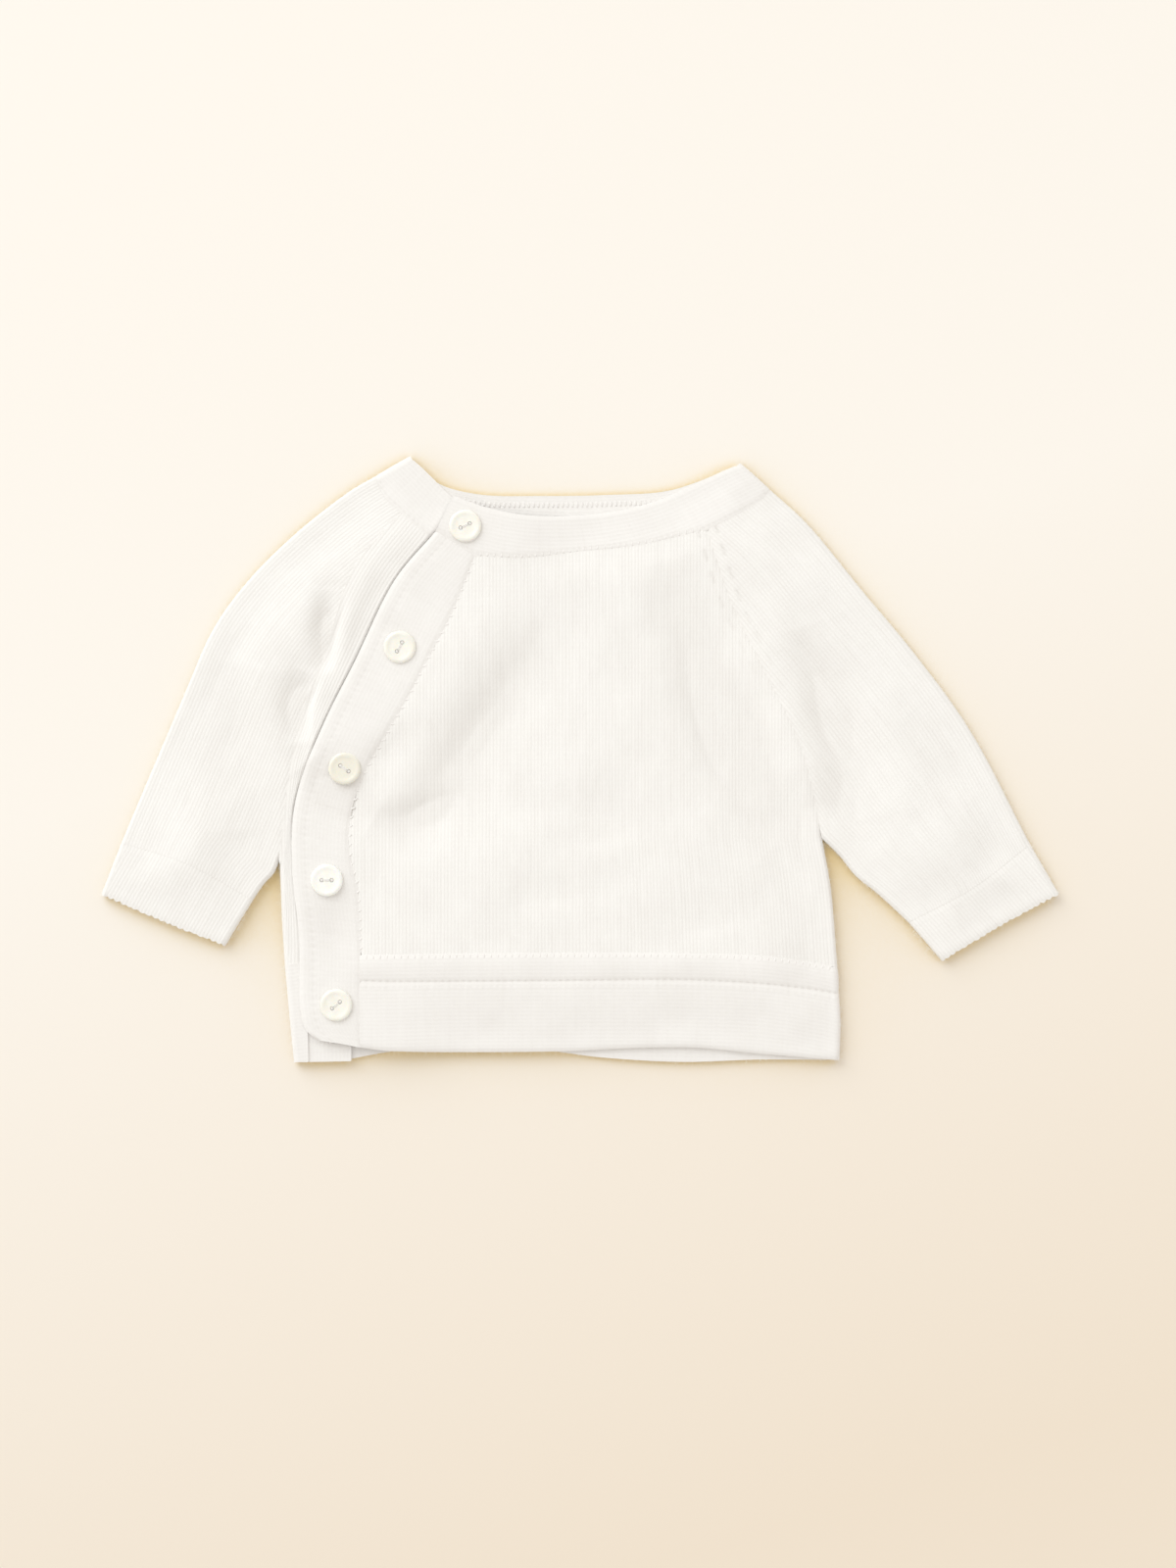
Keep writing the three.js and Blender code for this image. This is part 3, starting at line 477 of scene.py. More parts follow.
def wander(a, b):
    """Hand-made unevenness: a slow wave over the cloth, about 1 each way."""
    return (
        np.sin(0.071 * a + 1.7 * np.sin(0.043 * b))
        + np.sin(0.113 * b + 1.3 * np.sin(0.059 * a + 2))
        + np.sin(0.193 * a - 0.151 * b + 0.6)
    ) / 2


def stocking(wale, row):
    """Height of stocking stitch, 0 in the gaps and 1 on top of a leg."""
    across = wale - np.floor(wale)
    legs = np.abs(np.sin(TAU * across))
    slant = np.abs(across - 0.5) * 2
    twist = wave(row - 0.5 * slant)
    return legs * (0.68 + 0.08 * twist) + 0.24 * (1 - wave(across))


def piece_from(name, bm, looks=None, rounded=True):
    """A new object in the scene with that shape, shaded as rounded or faceted."""
    for face in bm.faces:
        face.smooth = rounded
    mesh = bpy.data.meshes.new(name)
    bm.to_mesh(mesh)
    bm.free()
    if looks:
        mesh.materials.append(looks)
    piece = bpy.data.objects.new(name, mesh)
    bpy.context.scene.collection.objects.link(piece)
    return piece


def evaluated_mesh(piece):
    """The mesh that a piece's modifiers make, which it then holds without them."""
    made = bpy.data.meshes.new_from_object(piece.evaluated_get(bpy.context.evaluated_depsgraph_get()))
    piece.modifiers.clear()
    piece.data = made
    return made


def cloth(name, places, stitches, wall, looks, faces_down=False):
    """A wall of cloth from a grid of outer places in millimetres.

    stitches holds, for each place, its wale, its row and how deep in shade it is.
    """
    columns, rows = places.shape[:2]
    bm = bmesh.new()
    bmesh.ops.create_grid(bm, x_segments=columns - 1, y_segments=rows - 1, size=0.5)
    knit = bm.verts.layers.float_vector.new("knit")
    share = np.array([v.co[:2] for v in bm.verts]) + 0.5
    column = np.rint(share[:, 0] * (columns - 1)).astype(int)
    row = np.rint(share[:, 1] * (rows - 1)).astype(int)
    at = (places[column, row] * MM).tolist()
    stitch = stitches[column, row].tolist()
    for vert, place, value in zip(bm.verts, at, stitch):
        vert.co = place
        vert[knit] = value
    bmesh.ops.remove_doubles(bm, verts=bm.verts, dist=MERGE)
    bmesh.ops.dissolve_degenerate(bm, dist=SLIVER, edges=bm.edges)
    bm.normal_update()
    heights = places[..., 2] * MM
    middle = (heights.min() + heights.max()) / 2
    seen = [f for f in bm.faces if (f.calc_center_median().z < middle) == faces_down]
    if (sum(f.normal.z * f.calc_area() for f in seen) < 0) != faces_down:
        bmesh.ops.reverse_faces(bm, faces=bm.faces)
    meet(bm)
    piece = piece_from(name, bm, looks)
    thick = piece.modifiers.new("Wall", "SOLIDIFY")
    thick.thickness = wall * MM
    thick.offset = -1
    thick.use_quality_normals = False
    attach(piece, "root")
    return piece


def meet(bm):
    """Carries a sheet's edges on to meet its neighbour's, and keeps them crisp."""
    moves = {}
    for edge in bm.edges:
        if not edge.is_boundary:
            continue
        edge.smooth = False
        first, second = edge.verts
        along = (second.co - first.co).normalized()
        out = (first.co + second.co) / 2 - edge.link_faces[0].calc_center_median()
        out = (out - along * out.dot(along)).normalized()
        for vert in edge.verts:
            moves.setdefault(vert, []).append(out)
    for vert, outs in moves.items():
        vert.co += sum(outs, Vector()) / len(outs) * SEAM_MEET * MM


def stack(*values):
    """Values side by side in a last axis, each spread to the shape of all."""
    return np.stack(np.broadcast_arrays(*values), -1)


def lattice(chain_top, chain_bottom, at, row_pitch):
    """Rows of each column between two chains of (column, row) points.

    The rows lie on one lattice, and past either end they stay on the chain.
    """
    order = np.argsort(chain_top[:, 0], kind="stable")
    top = np.interp(at, chain_top[order, 0], chain_top[order, 1])
    order = np.argsort(chain_bottom[:, 0], kind="stable")
    bottom = np.interp(at, chain_bottom[order, 0], chain_bottom[order, 1])
    low, high = min(top.min(), bottom.min()), max(top.max(), bottom.max())
    rows = np.arange(math.floor(low / row_pitch), math.ceil(high / row_pitch) + 1) * row_pitch
    return np.clip(rows[None], np.minimum(top, bottom)[:, None], np.maximum(top, bottom)[:, None])


def pitched(start, end, pitch):
    """Places from start to end on a lattice of that pitch, with both ends."""
    clear = 0.2 * pitch
    first, last = math.ceil((start + clear) / pitch), math.floor((end - clear) / pitch)
    return np.concatenate([[start], np.arange(first, last + 1) * pitch, [end]])


# Angles round a side seam, and round the nose of a fold, whose first few are
# on the upper layer
QUARTER = np.linspace(0, math.pi / 2, 6)[1:]
HALF = np.linspace(0, math.pi, 11)[1:-1]
HALF_UP = 4

# Depth and width of the dip at the neckband's seam, below 0 for a slight swell
NECK_SWELL = (-0.1, 2.5)

# Marks of narrowing: their depth and shade, how far apart and how far off the
# seam they are, and how far down it they fade
MARK_DEPTH = 0.3
MARK_SHADE = 0.4
MARK_PITCH = 9.5
MARK_OFF = 3.6
MARK_FADE = 75


def seam_dip(distance, depth=0.35, width=1.3):
    """How far cloth sinks into a seam that is this far away."""
    return depth * np.exp(-((distance / width) ** 2))


def front_sheet(knit):
    """The wide front: wales run straight down it, and lean out to its side seam."""
    foot = stops_of(left_side)
    seam_end = foot[-1, 0] - CURL

    def side_x(y):
        return np.interp(-y, -foot[:, 1], foot[:, 0])

    def spread_of(y):
        """How wide the columns are at a height, as a share of their width at the foot."""
        return (side_x(y) - CURL) / seam_end

    def to_columns(points):
        """Points as column and height, where columns keep one width throughout."""
        x, y = points[:, 0], points[:, 1]
        flat = np.where(x > 0, x / spread_of(y), x)
        return np.stack([np.where(flat > seam_end, seam_end + x - side_x(y) + CURL, flat), y], -1)

    wrap = stops_of(wrap_seam_above, 120)
    narrow = int(np.argmin(wrap[:, 0]))
    over = [wrap[: narrow + 1][::-1], stops_of(neck_front_seam, 80)[1:], stops_of(left_raglan, 120)[1:]]
    top = to_columns(np.vstack(over))
    bottom = to_columns(np.vstack([wrap[narrow:], stops_of(front_welt_seam, 80)[1:]]))
    flat = pitched(wrap[narrow, 0], seam_end, knit.wale / MM / 4)
    columns = np.concatenate([flat, seam_end + CURL * np.sin(QUARTER)])
    turn = np.concatenate([np.zeros(len(flat)), QUARTER])
    y = lattice(top, bottom, columns, knit.row / MM / 2)
    past = (columns > seam_end)[:, None]
    x = np.where(columns > 0, columns, 0)[:, None] * spread_of(y) + np.minimum(columns, 0)[:, None]
    x = np.where(past, side_x(y) - CURL + (columns - seam_end)[:, None], x)
    level = front_level(PANEL_WALL)(np.where(past, side_x(y) - CURL, x), y) + PANEL_WALL / 2
    z = level - CURL * (1 - np.cos(turn))[:, None]
    wale = (columns[:, None] + 0 * y) * MM / knit.wale
    row = y * MM / knit.row
    raglan = reach_of(left_raglan)(x, y)
    neck = reach_of(neck_front_seam)(x, y)
    wrap_off = reach_of(wrap_seam_above)(x, y)
    # Stitches stand out more in some patches than in others, wide and narrow
    uneven = 1 + 0.35 * wander(3 * x, 2 * y) + 0.25 * wander(11 * x + 40, 7 * y)
    relief = knit.relief / MM * (stocking(wale, row) - LEG_LEVEL) * uneven
    marks = fashioning(x, y, left_raglan, raglan)
    z = z + relief - seam_dip(raglan) - seam_dip(neck, *NECK_SWELL)
    z = z - seam_dip(wrap_off, 0.15) - MARK_DEPTH * marks
    shade = MARK_SHADE * marks + 0.1 * spot(raglan, 0, 0.6) + 0.08 * spot(neck, 0, 0.5)
    shade = shade + 0.1 * spot(wrap_off, 0, 0.6) + crease_shade(x, y)
    return stack(x, y, z), stack(wale, row, shade)


def fashioning(x, y, seam, off):
    """Marks of narrowing: broken lines a little way off a raglan seam."""
    _, _, share = nearest(stops_of(seam), x, y)
    down = share * length_of(seam)
    dash = smooth(1.6 * np.cos(TAU * down / MARK_PITCH) + 0.7)
    strength = np.clip(1.1 - down / MARK_FADE, 0.15, 1)
    return spot(off, MARK_OFF, 0.55) * dash * strength


def back_sheet(knit):
    """The back, from its underside: flat, and turned up at both sides."""
    left, right = stops_of(left_side), stops_of(right_side)
    left_end, right_end = left[-1, 0] - CURL, right[-1, 0] + CURL

    def edge_x(y):
        """Where both sides are at a height."""
        return np.interp(-y, -left[:, 1], left[:, 0]), np.interp(-y, -right[:, 1], right[:, 0])

    def to_columns(points):
        """Points as column and height, where columns keep one width throughout."""
        x, y = points[:, 0], points[:, 1]
        left_x, right_x = edge_x(y)
        flat = np.where(x > 0, x * left_end / (left_x - CURL), x * right_end / (right_x + CURL))
        flat = np.where(flat > left_end, left_end + x - left_x + CURL, flat)
        flat = np.where(flat < right_end, right_end + x - right_x - CURL, flat)
        return np.stack([flat, y], -1)

    over = [
        stops_of(back_along(right_back_raglan), 100),
        stops_of(back_along(neck_back_seam), 80)[1:],
        stops_of(left_back_raglan, 100)[1:],
    ]
    top = to_columns(np.vstack(over))
    bottom = to_columns(stops_of(back_along(back_welt_seam), 80))
    flat = pitched(right_end, left_end, knit.wale / MM / 4)
    curled = CURL * np.sin(QUARTER)
    columns = np.concatenate([right_end - curled[::-1], flat, left_end + curled])
    turn = np.concatenate([QUARTER[::-1], np.zeros(len(flat)), QUARTER])
    y = lattice(top, bottom, columns, knit.row / MM)
    left_x, right_x = edge_x(y)
    c = columns[:, None]
    x = np.where(c > 0, c * (left_x - CURL) / left_end, c * (right_x + CURL) / right_end)
    x = np.where(c > left_end, left_x - CURL + c - left_end, x)
    x = np.where(c < right_end, right_x + CURL + c - right_end, x)
    wale, row = c * MM / knit.wale + 0 * y, y * MM / knit.row
    depth = knit.relief / MM
    z = CURL * (1 - np.cos(turn))[:, None] + depth * (1 - stocking(wale, row))
    return stack(x, y, z), stack(wale, row, 0 * y)


def sleeve_columns(knit, width):
    """Columns of the upper and lower layer of a sleeve, and the turn of each.

    They run from the inner seam out to the fold, round its nose and back.
    """
    flat = pitched(0, width, knit.wale / MM / 4)
    coarse = pitched(0, width, knit.wale / MM / 2)
    curled = width + CURL * np.sin(QUARTER)
    round_nose = -NOSE * np.sin(HALF)
    upper = np.concatenate([curled[::-1], flat[::-1], round_nose[:HALF_UP]])
    lower = np.concatenate([round_nose[HALF_UP:], coarse, curled])
    upper_turn = np.concatenate([QUARTER[::-1], np.zeros(len(flat)), HALF[:HALF_UP]])
    lower_turn = np.concatenate([HALF[HALF_UP:], np.full(len(coarse), math.pi), math.pi - QUARTER])
    return upper, lower, np.concatenate([upper_turn, lower_turn])


def sleeve_sheet(knit, lines):
    """A sleeve as one tube: upper layer, nose at the outer fold, lower layer.

    Places on it are t down the sleeve and d inward from the line of its fold.
    """
    fold = stops_of(lines["fold"], 80)
    start, along = fold[0], fold[-1] - fold[0]
    along = along / np.linalg.norm(along)
    inner_foot = stops_of(lines["inner"])
    inward = np.array([-along[1], along[0]])
    inward *= np.sign((inner_foot[0] - start) @ inward)

    def local(points):
        offset = points - start
        return offset @ along, offset @ inward

    fold_t, fold_d = local(fold)
    inner_t, inner_d = local(inner_foot)
    inner_d = inner_d - np.interp(inner_t, fold_t, fold_d)
    order = np.argsort(inner_t)
    inner_t, inner_d = inner_t[order], inner_d[order]
    width = inner_d[0] - NOSE - CURL

    def width_at(t):
        return np.interp(t, inner_t, inner_d) - NOSE - CURL

    def place_at(t, d):
        d = d + np.interp(t, fold_t, fold_d)
        return (start[k] + along[k] * t + inward[k] * d for k in (0, 1))

    def to_columns(points):
        """Points as column and t, where columns keep one width throughout."""
        t, d = local(points)
        d = d - np.interp(t, fold_t, fold_d) - NOSE
        q = np.where(d < 0, d, d * width / width_at(t))
        return np.stack([np.where(q > width, width + d - width_at(t), q), t], -1)

    tops = [
        to_columns(np.vstack([stops_of(lines[neck], 40), stops_of(lines[raglan], 120)[1:]]))
        for neck, raglan in (("front_neck", "front_raglan"), ("back_neck", "back_raglan"))
    ]
    cuff = to_columns(stops_of(lines["cuff"], 60))
    upper, lower, turn = sleeve_columns(knit, width)
    columns = np.concatenate([upper, lower])
    q_top = [top[np.argsort(top[:, 0], kind="stable")] for top in tops]
    cuff = cuff[np.argsort(cuff[:, 0], kind="stable")]
    first = np.concatenate([
        np.interp(upper, q_top[0][:, 0], q_top[0][:, 1]),
        np.interp(lower, q_top[1][:, 0], q_top[1][:, 1]),
    ])[:, None]
    last = np.interp(columns, cuff[:, 0], cuff[:, 1])[:, None]
    pitch = knit.row / MM / 2
    rows = np.arange(math.floor(first.min() / pitch), math.ceil(last.max() / pitch) + 1) * pitch
    t = np.clip(rows[None], first, last)
    c = columns[:, None]
    d = np.where(c > 0, c * width_at(t) / width, c)
    d = np.where(c > width, width_at(t) + c - width, d) + NOSE
    x, y = place_at(t, d)
    top_z = sleeve_level(*place_at(t, np.clip(d, NOSE, width_at(t) + NOSE))) + PANEL_WALL / 2
    is_upper = (np.arange(len(columns)) < len(upper))[:, None]
    at_fold = (c <= 0) & (turn > 0)[:, None]
    at_inner = c > width
    turned = turn[:, None]
    z = np.where(is_upper, top_z, 0.0)
    z = np.where(at_fold, NOSE + NOSE * np.cos(turned), z)
    z = np.where(at_inner & is_upper, top_z - CURL * (1 - np.cos(turned)), z)
    z = np.where(at_inner & ~is_upper, CURL * (1 + np.cos(turned)), z)
    round_fold = np.where(is_upper, c, -c) + 0 * t
    wale = np.where(at_fold, NOSE * (math.pi / 2 - turned), round_fold) * MM / knit.wale
    row = t * MM / knit.row
    depth = 0.7 * knit.relief / MM
    uneven = 1 + 0.35 * wander(3 * x, 2 * y) + 0.35 * wander(13 * x, 9 * y)
    relief = depth * (stocking(wale, row) - LEG_LEVEL) * uneven
    raglan = reach_of(lines["front_raglan"])(x, y)
    neck = reach_of(lines["front_neck"])(x, y)
    marks = fashioning(x, y, lines["front_raglan"], raglan) * lines["marks"]
    sunk = relief - seam_dip(raglan, 0.2) - seam_dip(neck, *NECK_SWELL) - MARK_DEPTH * marks
    below = np.where(at_fold | at_inner, 0, depth * (1 - stocking(wale, row)))
    z = z + np.where(is_upper, sunk, below)
    shade = MARK_SHADE * marks + 0.06 * spot(raglan, 0, 0.6) + 0.08 * spot(neck, 0, 0.5)
    shade = np.where(is_upper, shade + crease_shade(x, y), 0)
    return stack(x, y, z), stack(wale, row, shade)


LEFT_SLEEVE = {
    "front_neck": back_along(neck_left_sleeve_seam), "front_raglan": left_raglan,
    "back_neck": neck_back_left_seam, "back_raglan": left_back_raglan,
    "fold": left_sleeve_fold, "inner": left_sleeve_inner, "cuff": left_cuff_seam, "marks": 1,
}
RIGHT_SLEEVE = {
    "front_neck": neck_right_sleeve_seam, "front_raglan": right_raglan,
    "back_neck": back_along(neck_back_right_seam), "back_raglan": right_back_raglan,
    "fold": right_sleeve_fold, "inner": right_sleeve_inner, "cuff": right_cuff_seam, "marks": 0.3,
}


# ---------------------------------------------------- patches between lines


# How far from its corners a line is drawn over to meet the next one
CORNER_REACH = 2.5


def fitted(path, start, end, runs):
    """Places along a line, from beside one corner to beside another."""
    fine = np.linspace(0, 1, 601)
    at = path(fine)
    to_start = np.linalg.norm(at - start, axis=1)
    to_end = np.linalg.norm(at - end, axis=1)
    first = fine[:300][np.argmin(to_start[:300])]
    last = fine[300:][np.argmin(to_end[300:])]
    places = path(first + (last - first) * runs)
    off_start, off_end = start - places[0], end - places[-1]
    near_start = np.exp(-np.linalg.norm(places - places[0], axis=1) / CORNER_REACH)[:, None]
    near_end = np.exp(-np.linalg.norm(places - places[-1], axis=1) / CORNER_REACH)[:, None]
    return places + off_start * near_start + off_end * near_end


def spread(top, bottom, left, right, runs, steps):
    """Places of a patch between four lines, evened out from all sides."""
    top_left, bottom_left = left(np.array(0.0)), left(np.array(1.0))
    top_right, bottom_right = right(np.array(0.0)), right(np.array(1.0))
    upper = fitted(top, top_left, top_right, runs)
    lower = fitted(bottom, bottom_left, bottom_right, runs)
    upper[0], upper[-1], lower[0], lower[-1] = top_left, top_right, bottom_left, bottom_right
    u, v = runs[:, None, None], steps[None, :, None]
    return (
        upper[:, None] * (1 - v) + lower[:, None] * v
        + left(steps)[None] * (1 - u) + right(steps)[None] * u
        - top_left * (1 - u) * (1 - v) - top_right * u * (1 - v)
        - bottom_left * (1 - u) * v - bottom_right * u * v
    )


def laid_over(plan, level, wall, raised=0.0):
    """Outer places of a layer: half its wall over its middle, and any rise."""
    return stack(plan[..., 0], plan[..., 1], level(plan[..., 0], plan[..., 1]) + wall / 2 + raised)


def laid_under(plan):
    """Outer places of a layer that rests on the surface."""
    return stack(plan[..., 0], plan[..., 1], 0.0)


def outward_of(run, inside):
    """Unit directions out of a sheet's end run, level with the surface."""
    along = np.gradient(run[:, :2], axis=0)
    across = np.stack([along[:, 1], -along[:, 0]], -1)
    across /= np.linalg.norm(across, axis=1, keepdims=True)
    flip = np.sum(across * (inside[:, :2] - run[:, :2]), axis=1) > 0
    return np.where(flip[:, None], -across, across)


def half_turn(run, inside):
    """Runs round the nose of a fold, from the upper run down to the floor."""
    outward = outward_of(run, inside)
    radius = run[:, 2] / 2
    turns = []
    for angle in np.linspace(math.pi / 2, -math.pi / 2, TURN_RUNS + 2)[1:-1]:
        plan = run[:, :2] + outward * (radius * math.cos(angle))[:, None]
        turns.append(stack(plan[:, 0], plan[:, 1], radius * (1 + math.sin(angle))))
    return np.array(turns)


def quarter_turn(run, inside, steps=4):
    """Runs from a level run down towards a seam at a fold, half way down."""
    outward = outward_of(run, inside)
    turns = []
    for angle in np.linspace(0, math.pi / 2, steps + 1)[1:]:
        plan = run[:, :2] + outward * CURL * math.sin(angle)
        turns.append(stack(plan[:, 0], plan[:, 1], run[:, 2] - CURL * (1 - math.cos(angle))))
    return np.array(turns)


def even(count):
    """Shares from 0 to 1 with that many equal steps between."""
    return np.linspace(0, 1, count + 1)


def run_length(places, step):
    """Distance along the runs at one step, from the first."""
    line_at = places[:, step]
    return np.append(0, np.cumsum(np.linalg.norm(np.diff(line_at, axis=0), axis=1)))


def step_length(places):
    """Distance across each run, from its first step."""
    gaps = np.linalg.norm(np.diff(places, axis=1), axis=2)
    return np.concatenate([np.zeros((len(places), 1)), np.cumsum(gaps, axis=1)], axis=1)


def under_front_sheet(knit):
    """The narrow front under the wrap, from its side seam to the under band."""
    raglan_share = 14 / 20
    edge = joined(right_raglan, right_side, raglan_share)
    closer_to_wrap = 1 - (1 - even(56)) ** 1.35
    steps = even(150)
    plan = spread(neck_under_seam, under_welt_seam, beside(edge, CURL), under_edge, closer_to_wrap, steps)
    sheet = laid_over(plan, under_level(UNDER_BAND_LEVEL), PANEL_WALL)
    turned = quarter_turn(sheet[0], sheet[1])[::-1]
    beside_sleeve = steps < raglan_share + 0.01
    turned[:, beside_sleeve, 2] = sheet[0][beside_sleeve, 2]
    places = np.concatenate([turned, sheet])
    row = -step_length(places) * MM / knit.row
    from_side = step_length(places.swapaxes(0, 1)).T
    wale = (from_side - from_side[-1]) * MM / knit.wale
    relief = 0.2 * knit.relief / MM * (stocking(wale, row) - LEG_LEVEL)
    raglan = reach_of(right_raglan)(places[..., 0], places[..., 1])
    shade = 0.06 * spot(raglan, 0, 0.6) + crease_shade(places[..., 0], places[..., 1])
    return raised_by(places, relief - seam_dip(raglan, 0.1)), stack(wale, row, shade)


def raised_by(places, relief):
    """Places lifted by a relief in millimetres."""
    return places + stack(0, 0, relief)


# Band sizes: its close rows, its stitches, the chain and gaps at a neckband's
# edges, the ladder of holes and the sewing along the wrap band
BAND_ROW = 1.5
BAND_PLY = 1.9
CHAIN_PITCH = 2.2
CHAIN_OFF = 1.5
LADDER_PITCH = 2.9
LADDER_OFF = 5.4
SEWN_PITCH = 3.7

# How far a band is raised across it, in millimetres: (share of the width, rise).
# The neckband and wrap band run from the free edge to the seam.
NECK_PROFILE = [(0, -0.25), (0.06, 0.05), (0.14, 0.12), (0.5, 0.25), (0.86, 0.12), (0.94, 0.02), (1, -0.25)]
WRAP_PROFILE = [(0, -0.5), (0.04, -0.05), (0.1, 0.15), (0.3, 0.2), (0.8, 0.2), (0.95, 0.05), (1, -0.3)]

# The hem runs from the welt's seam to the free edge, with a groove between
HEM_PROFILE = [
    (0, 0), (0.03, 0.25), (0.08, 0.45), (0.13, 0.42), (0.2, 0.15), (0.25, -0.15), (0.28, -0.38), (0.31, -0.3),
    (0.4, -0.1), (0.55, 0.08), (0.75, 0.12), (0.93, 0.15), (0.98, 0), (1, -0.5),
]
GROOVE = 0.28
GROOVE_FOOT = 0.34


def band_relief(along, across, knit):
    """Close rows that run along a band, broken a little by its stitches."""
    uneven = 1 + 0.4 * wander(7 * along, 9 * across)
    ply = np.cos(TAU * along / BAND_PLY)
    return knit.relief / MM * (0.2 * wave(across / BAND_ROW) + 0.05 * ply) * uneven


def band_stitches(along, across, shade, knit):
    """Wale, row and shade of a band, whose rows run along it."""
    return stack(along * MM / knit.wale, across * MM / knit.row, shade)


def profiled(steps, profile):
    """The rise of a profile at each step across a band."""
    return np.interp(steps, [row[0] for row in profile], [row[1] for row in profile])[None]


def folded_round(front, back, under):
    """One sheet of three: over the front, under the back and up again."""
    return np.concatenate([
        front, half_turn(front[-1], front[-2]), back, half_turn(under[0], under[1])[::-1], under,
    ])


def neckband_sheet(knit):
    """One strip from its buttoned end round the neck to its under end."""
    steps = even(26)
    raised = profiled(steps, NECK_PROFILE)
    left_fold, right_fold = beside(left_shoulder_fold, -BAND_NOSE), beside(right_shoulder_fold, BAND_NOSE)
    front_seam = joined(neck_wrap_seam, joined(neck_front_seam, neck_left_sleeve_seam, 12 / 16), 2 / 18)
    back_seam = joined(neck_back_left_seam, joined(neck_back_seam, neck_back_right_seam, 10 / 14), 4 / 18)
    under_seam = joined(neck_right_sleeve_seam, joined(neck_under_seam, neck_under_wrap_seam, 3 / 5), 3 / 8)
    front_plan = spread(neck_front_edge, front_seam, neck_wrap_end, left_fold, even(180), steps)
    back_plan = spread(neck_back_edge, back_seam, left_fold, right_fold, even(180), steps)
    under_plan = spread(neck_under_edge, under_seam, right_fold, neck_under_end, even(70), steps)
    front = laid_over(front_plan, front_level(BAND_WALL), BAND_WALL, raised)
    under = laid_over(under_plan, under_level(EDGE_LEVEL), BAND_WALL, raised)
    places = folded_round(front, laid_under(back_plan), under)
    along = run_length(places, 13)[:, None]
    across = step_length(places)
    run = np.arange(len(places))[:, None]
    up = np.where((run < len(front)) | (run >= len(places) - len(under)), 1.0, 0.0)
    foot = across[:, -1:] - across
    chain = wave(along / CHAIN_PITCH)
    relief = band_relief(along, across, knit) + 0.12 * spot(across, 0.9, 0.5) * chain
    relief = relief - 0.15 * spot(foot, CHAIN_OFF, 0.45) * (1 - chain)
    shade = up * (0.25 * spot(foot, CHAIN_OFF, 0.5) * (1 - chain) + 0.12 * spot(foot, 0, 0.6))
    return raised_by(places, up * relief), band_stitches(along, across, shade, knit)


def hem_sheet(knit):
    """Welt, sewn groove and plain band, round the bottom."""
    at_groove = np.linspace(0.24, GROOVE_FOOT, 11)
    steps = np.unique(np.round(np.concatenate([even(44), at_groove]), 4))
    raised = profiled(steps, HEM_PROFILE)
    left_fold, right_fold = beside(left_hem_fold, -BAND_NOSE), beside(right_hem_fold, BAND_NOSE)
    front_plan = spread(front_welt_seam, front_hem, wrap_seam_below, left_fold, even(274), steps)
    front = laid_over(front_plan, front_level(BAND_WALL), BAND_WALL, raised)
    back = laid_under(spread(back_welt_seam, back_hem, left_fold, right_fold, even(160), steps))
    under_plan = spread(under_welt_seam, under_hem, right_fold, under_foot, even(8), steps)
    under = laid_over(under_plan, under_level(EDGE_LEVEL), BAND_WALL)
    places = folded_round(front, back, under)
    along = run_length(places, 12)[:, None]
    across = step_length(places)
    up = (np.arange(len(places)) < len(front) + TURN_RUNS // 2 + 1)[:, None] * 1.0
    share = steps[None]
    wale = along * MM / knit.wale
    gaps = wave(wale)
    tops = 1 - gaps
    below = smooth((share - 0.38) / 0.04)
    relief = below * band_relief(along, across, knit)
    relief = relief + 0.2 * spot(share, 0.035, 0.018) * tops - 0.12 * spot(share, 0.0, 0.012) * gaps
    relief = relief - 0.3 * spot(share, GROOVE, 0.012) * gaps + 0.16 * spot(share, GROOVE_FOOT, 0.02) * tops
    relief = relief + 0.05 * (share > 0.05) * (share < 0.25) * np.abs(np.sin(TAU * wale))
    shade = up * (
        spot(share, GROOVE, 0.014) * (0.08 + 0.34 * gaps)
        + 0.1 * spot(share, 0.0, 0.012) * gaps
        + 0.1 * spot(share, GROOVE_FOOT, 0.02) * gaps
    )
    return raised_by(places, up * relief), band_stitches(along, across, shade, knit)


def button_band_sheet(knit):
    """The wrap's free edge: square at the neck and round at the foot."""
    steps = even(34)
    plan = spread(wrap_edge, wrap_seam, neck_wrap_seam, wrap_foot, even(340), steps)
    places = laid_over(plan, front_level(BAND_WALL), BAND_WALL, profiled(steps, WRAP_PROFILE))
    along = run_length(places, 10)[:, None]
    across = step_length(places)
    inner = across[:, -1:] - across
    ladder = wave(along / LADDER_PITCH)
    sewn = wave((along + 0.8 * inner) / SEWN_PITCH)
    relief = band_relief(along, across, knit)
    relief = relief - 0.18 * spot(across, LADDER_OFF, 1.0) * ladder
    relief = relief + 0.1 * spot(across, 1.0, 0.5) * (1 - ladder)
    relief = relief - 0.05 * spot(inner, 0.7, 0.7) * sewn
    shade = 0.16 * spot(across, LADDER_OFF, 0.9) * ladder**2 + 0.06 * spot(inner, 0.9, 0.8) * sewn
    shade = shade + crease_shade(places[..., 0], places[..., 1])
    return raised_by(places, relief), band_stitches(along, across, shade, knit)


def under_band_sheet(knit):
    """The band under the wrap, whose foot shows below it."""
    top = joined(under_edge, under_foot, 23 / 28)
    end = line((-106.9, -118.9), (-90.1, -118.6))
    plan = spread(top, under_inner, neck_under_wrap_seam, end, even(220), even(24))
    places = laid_over(plan, lambda x, y: UNDER_BAND_LEVEL + 0 * x, PANEL_WALL)
    along = run_length(places, 12)[:, None]
    across = step_length(places)
    relief = band_relief(along, across, knit)
    return raised_by(places, relief - 0.12), band_stitches(along, across, 0, knit)


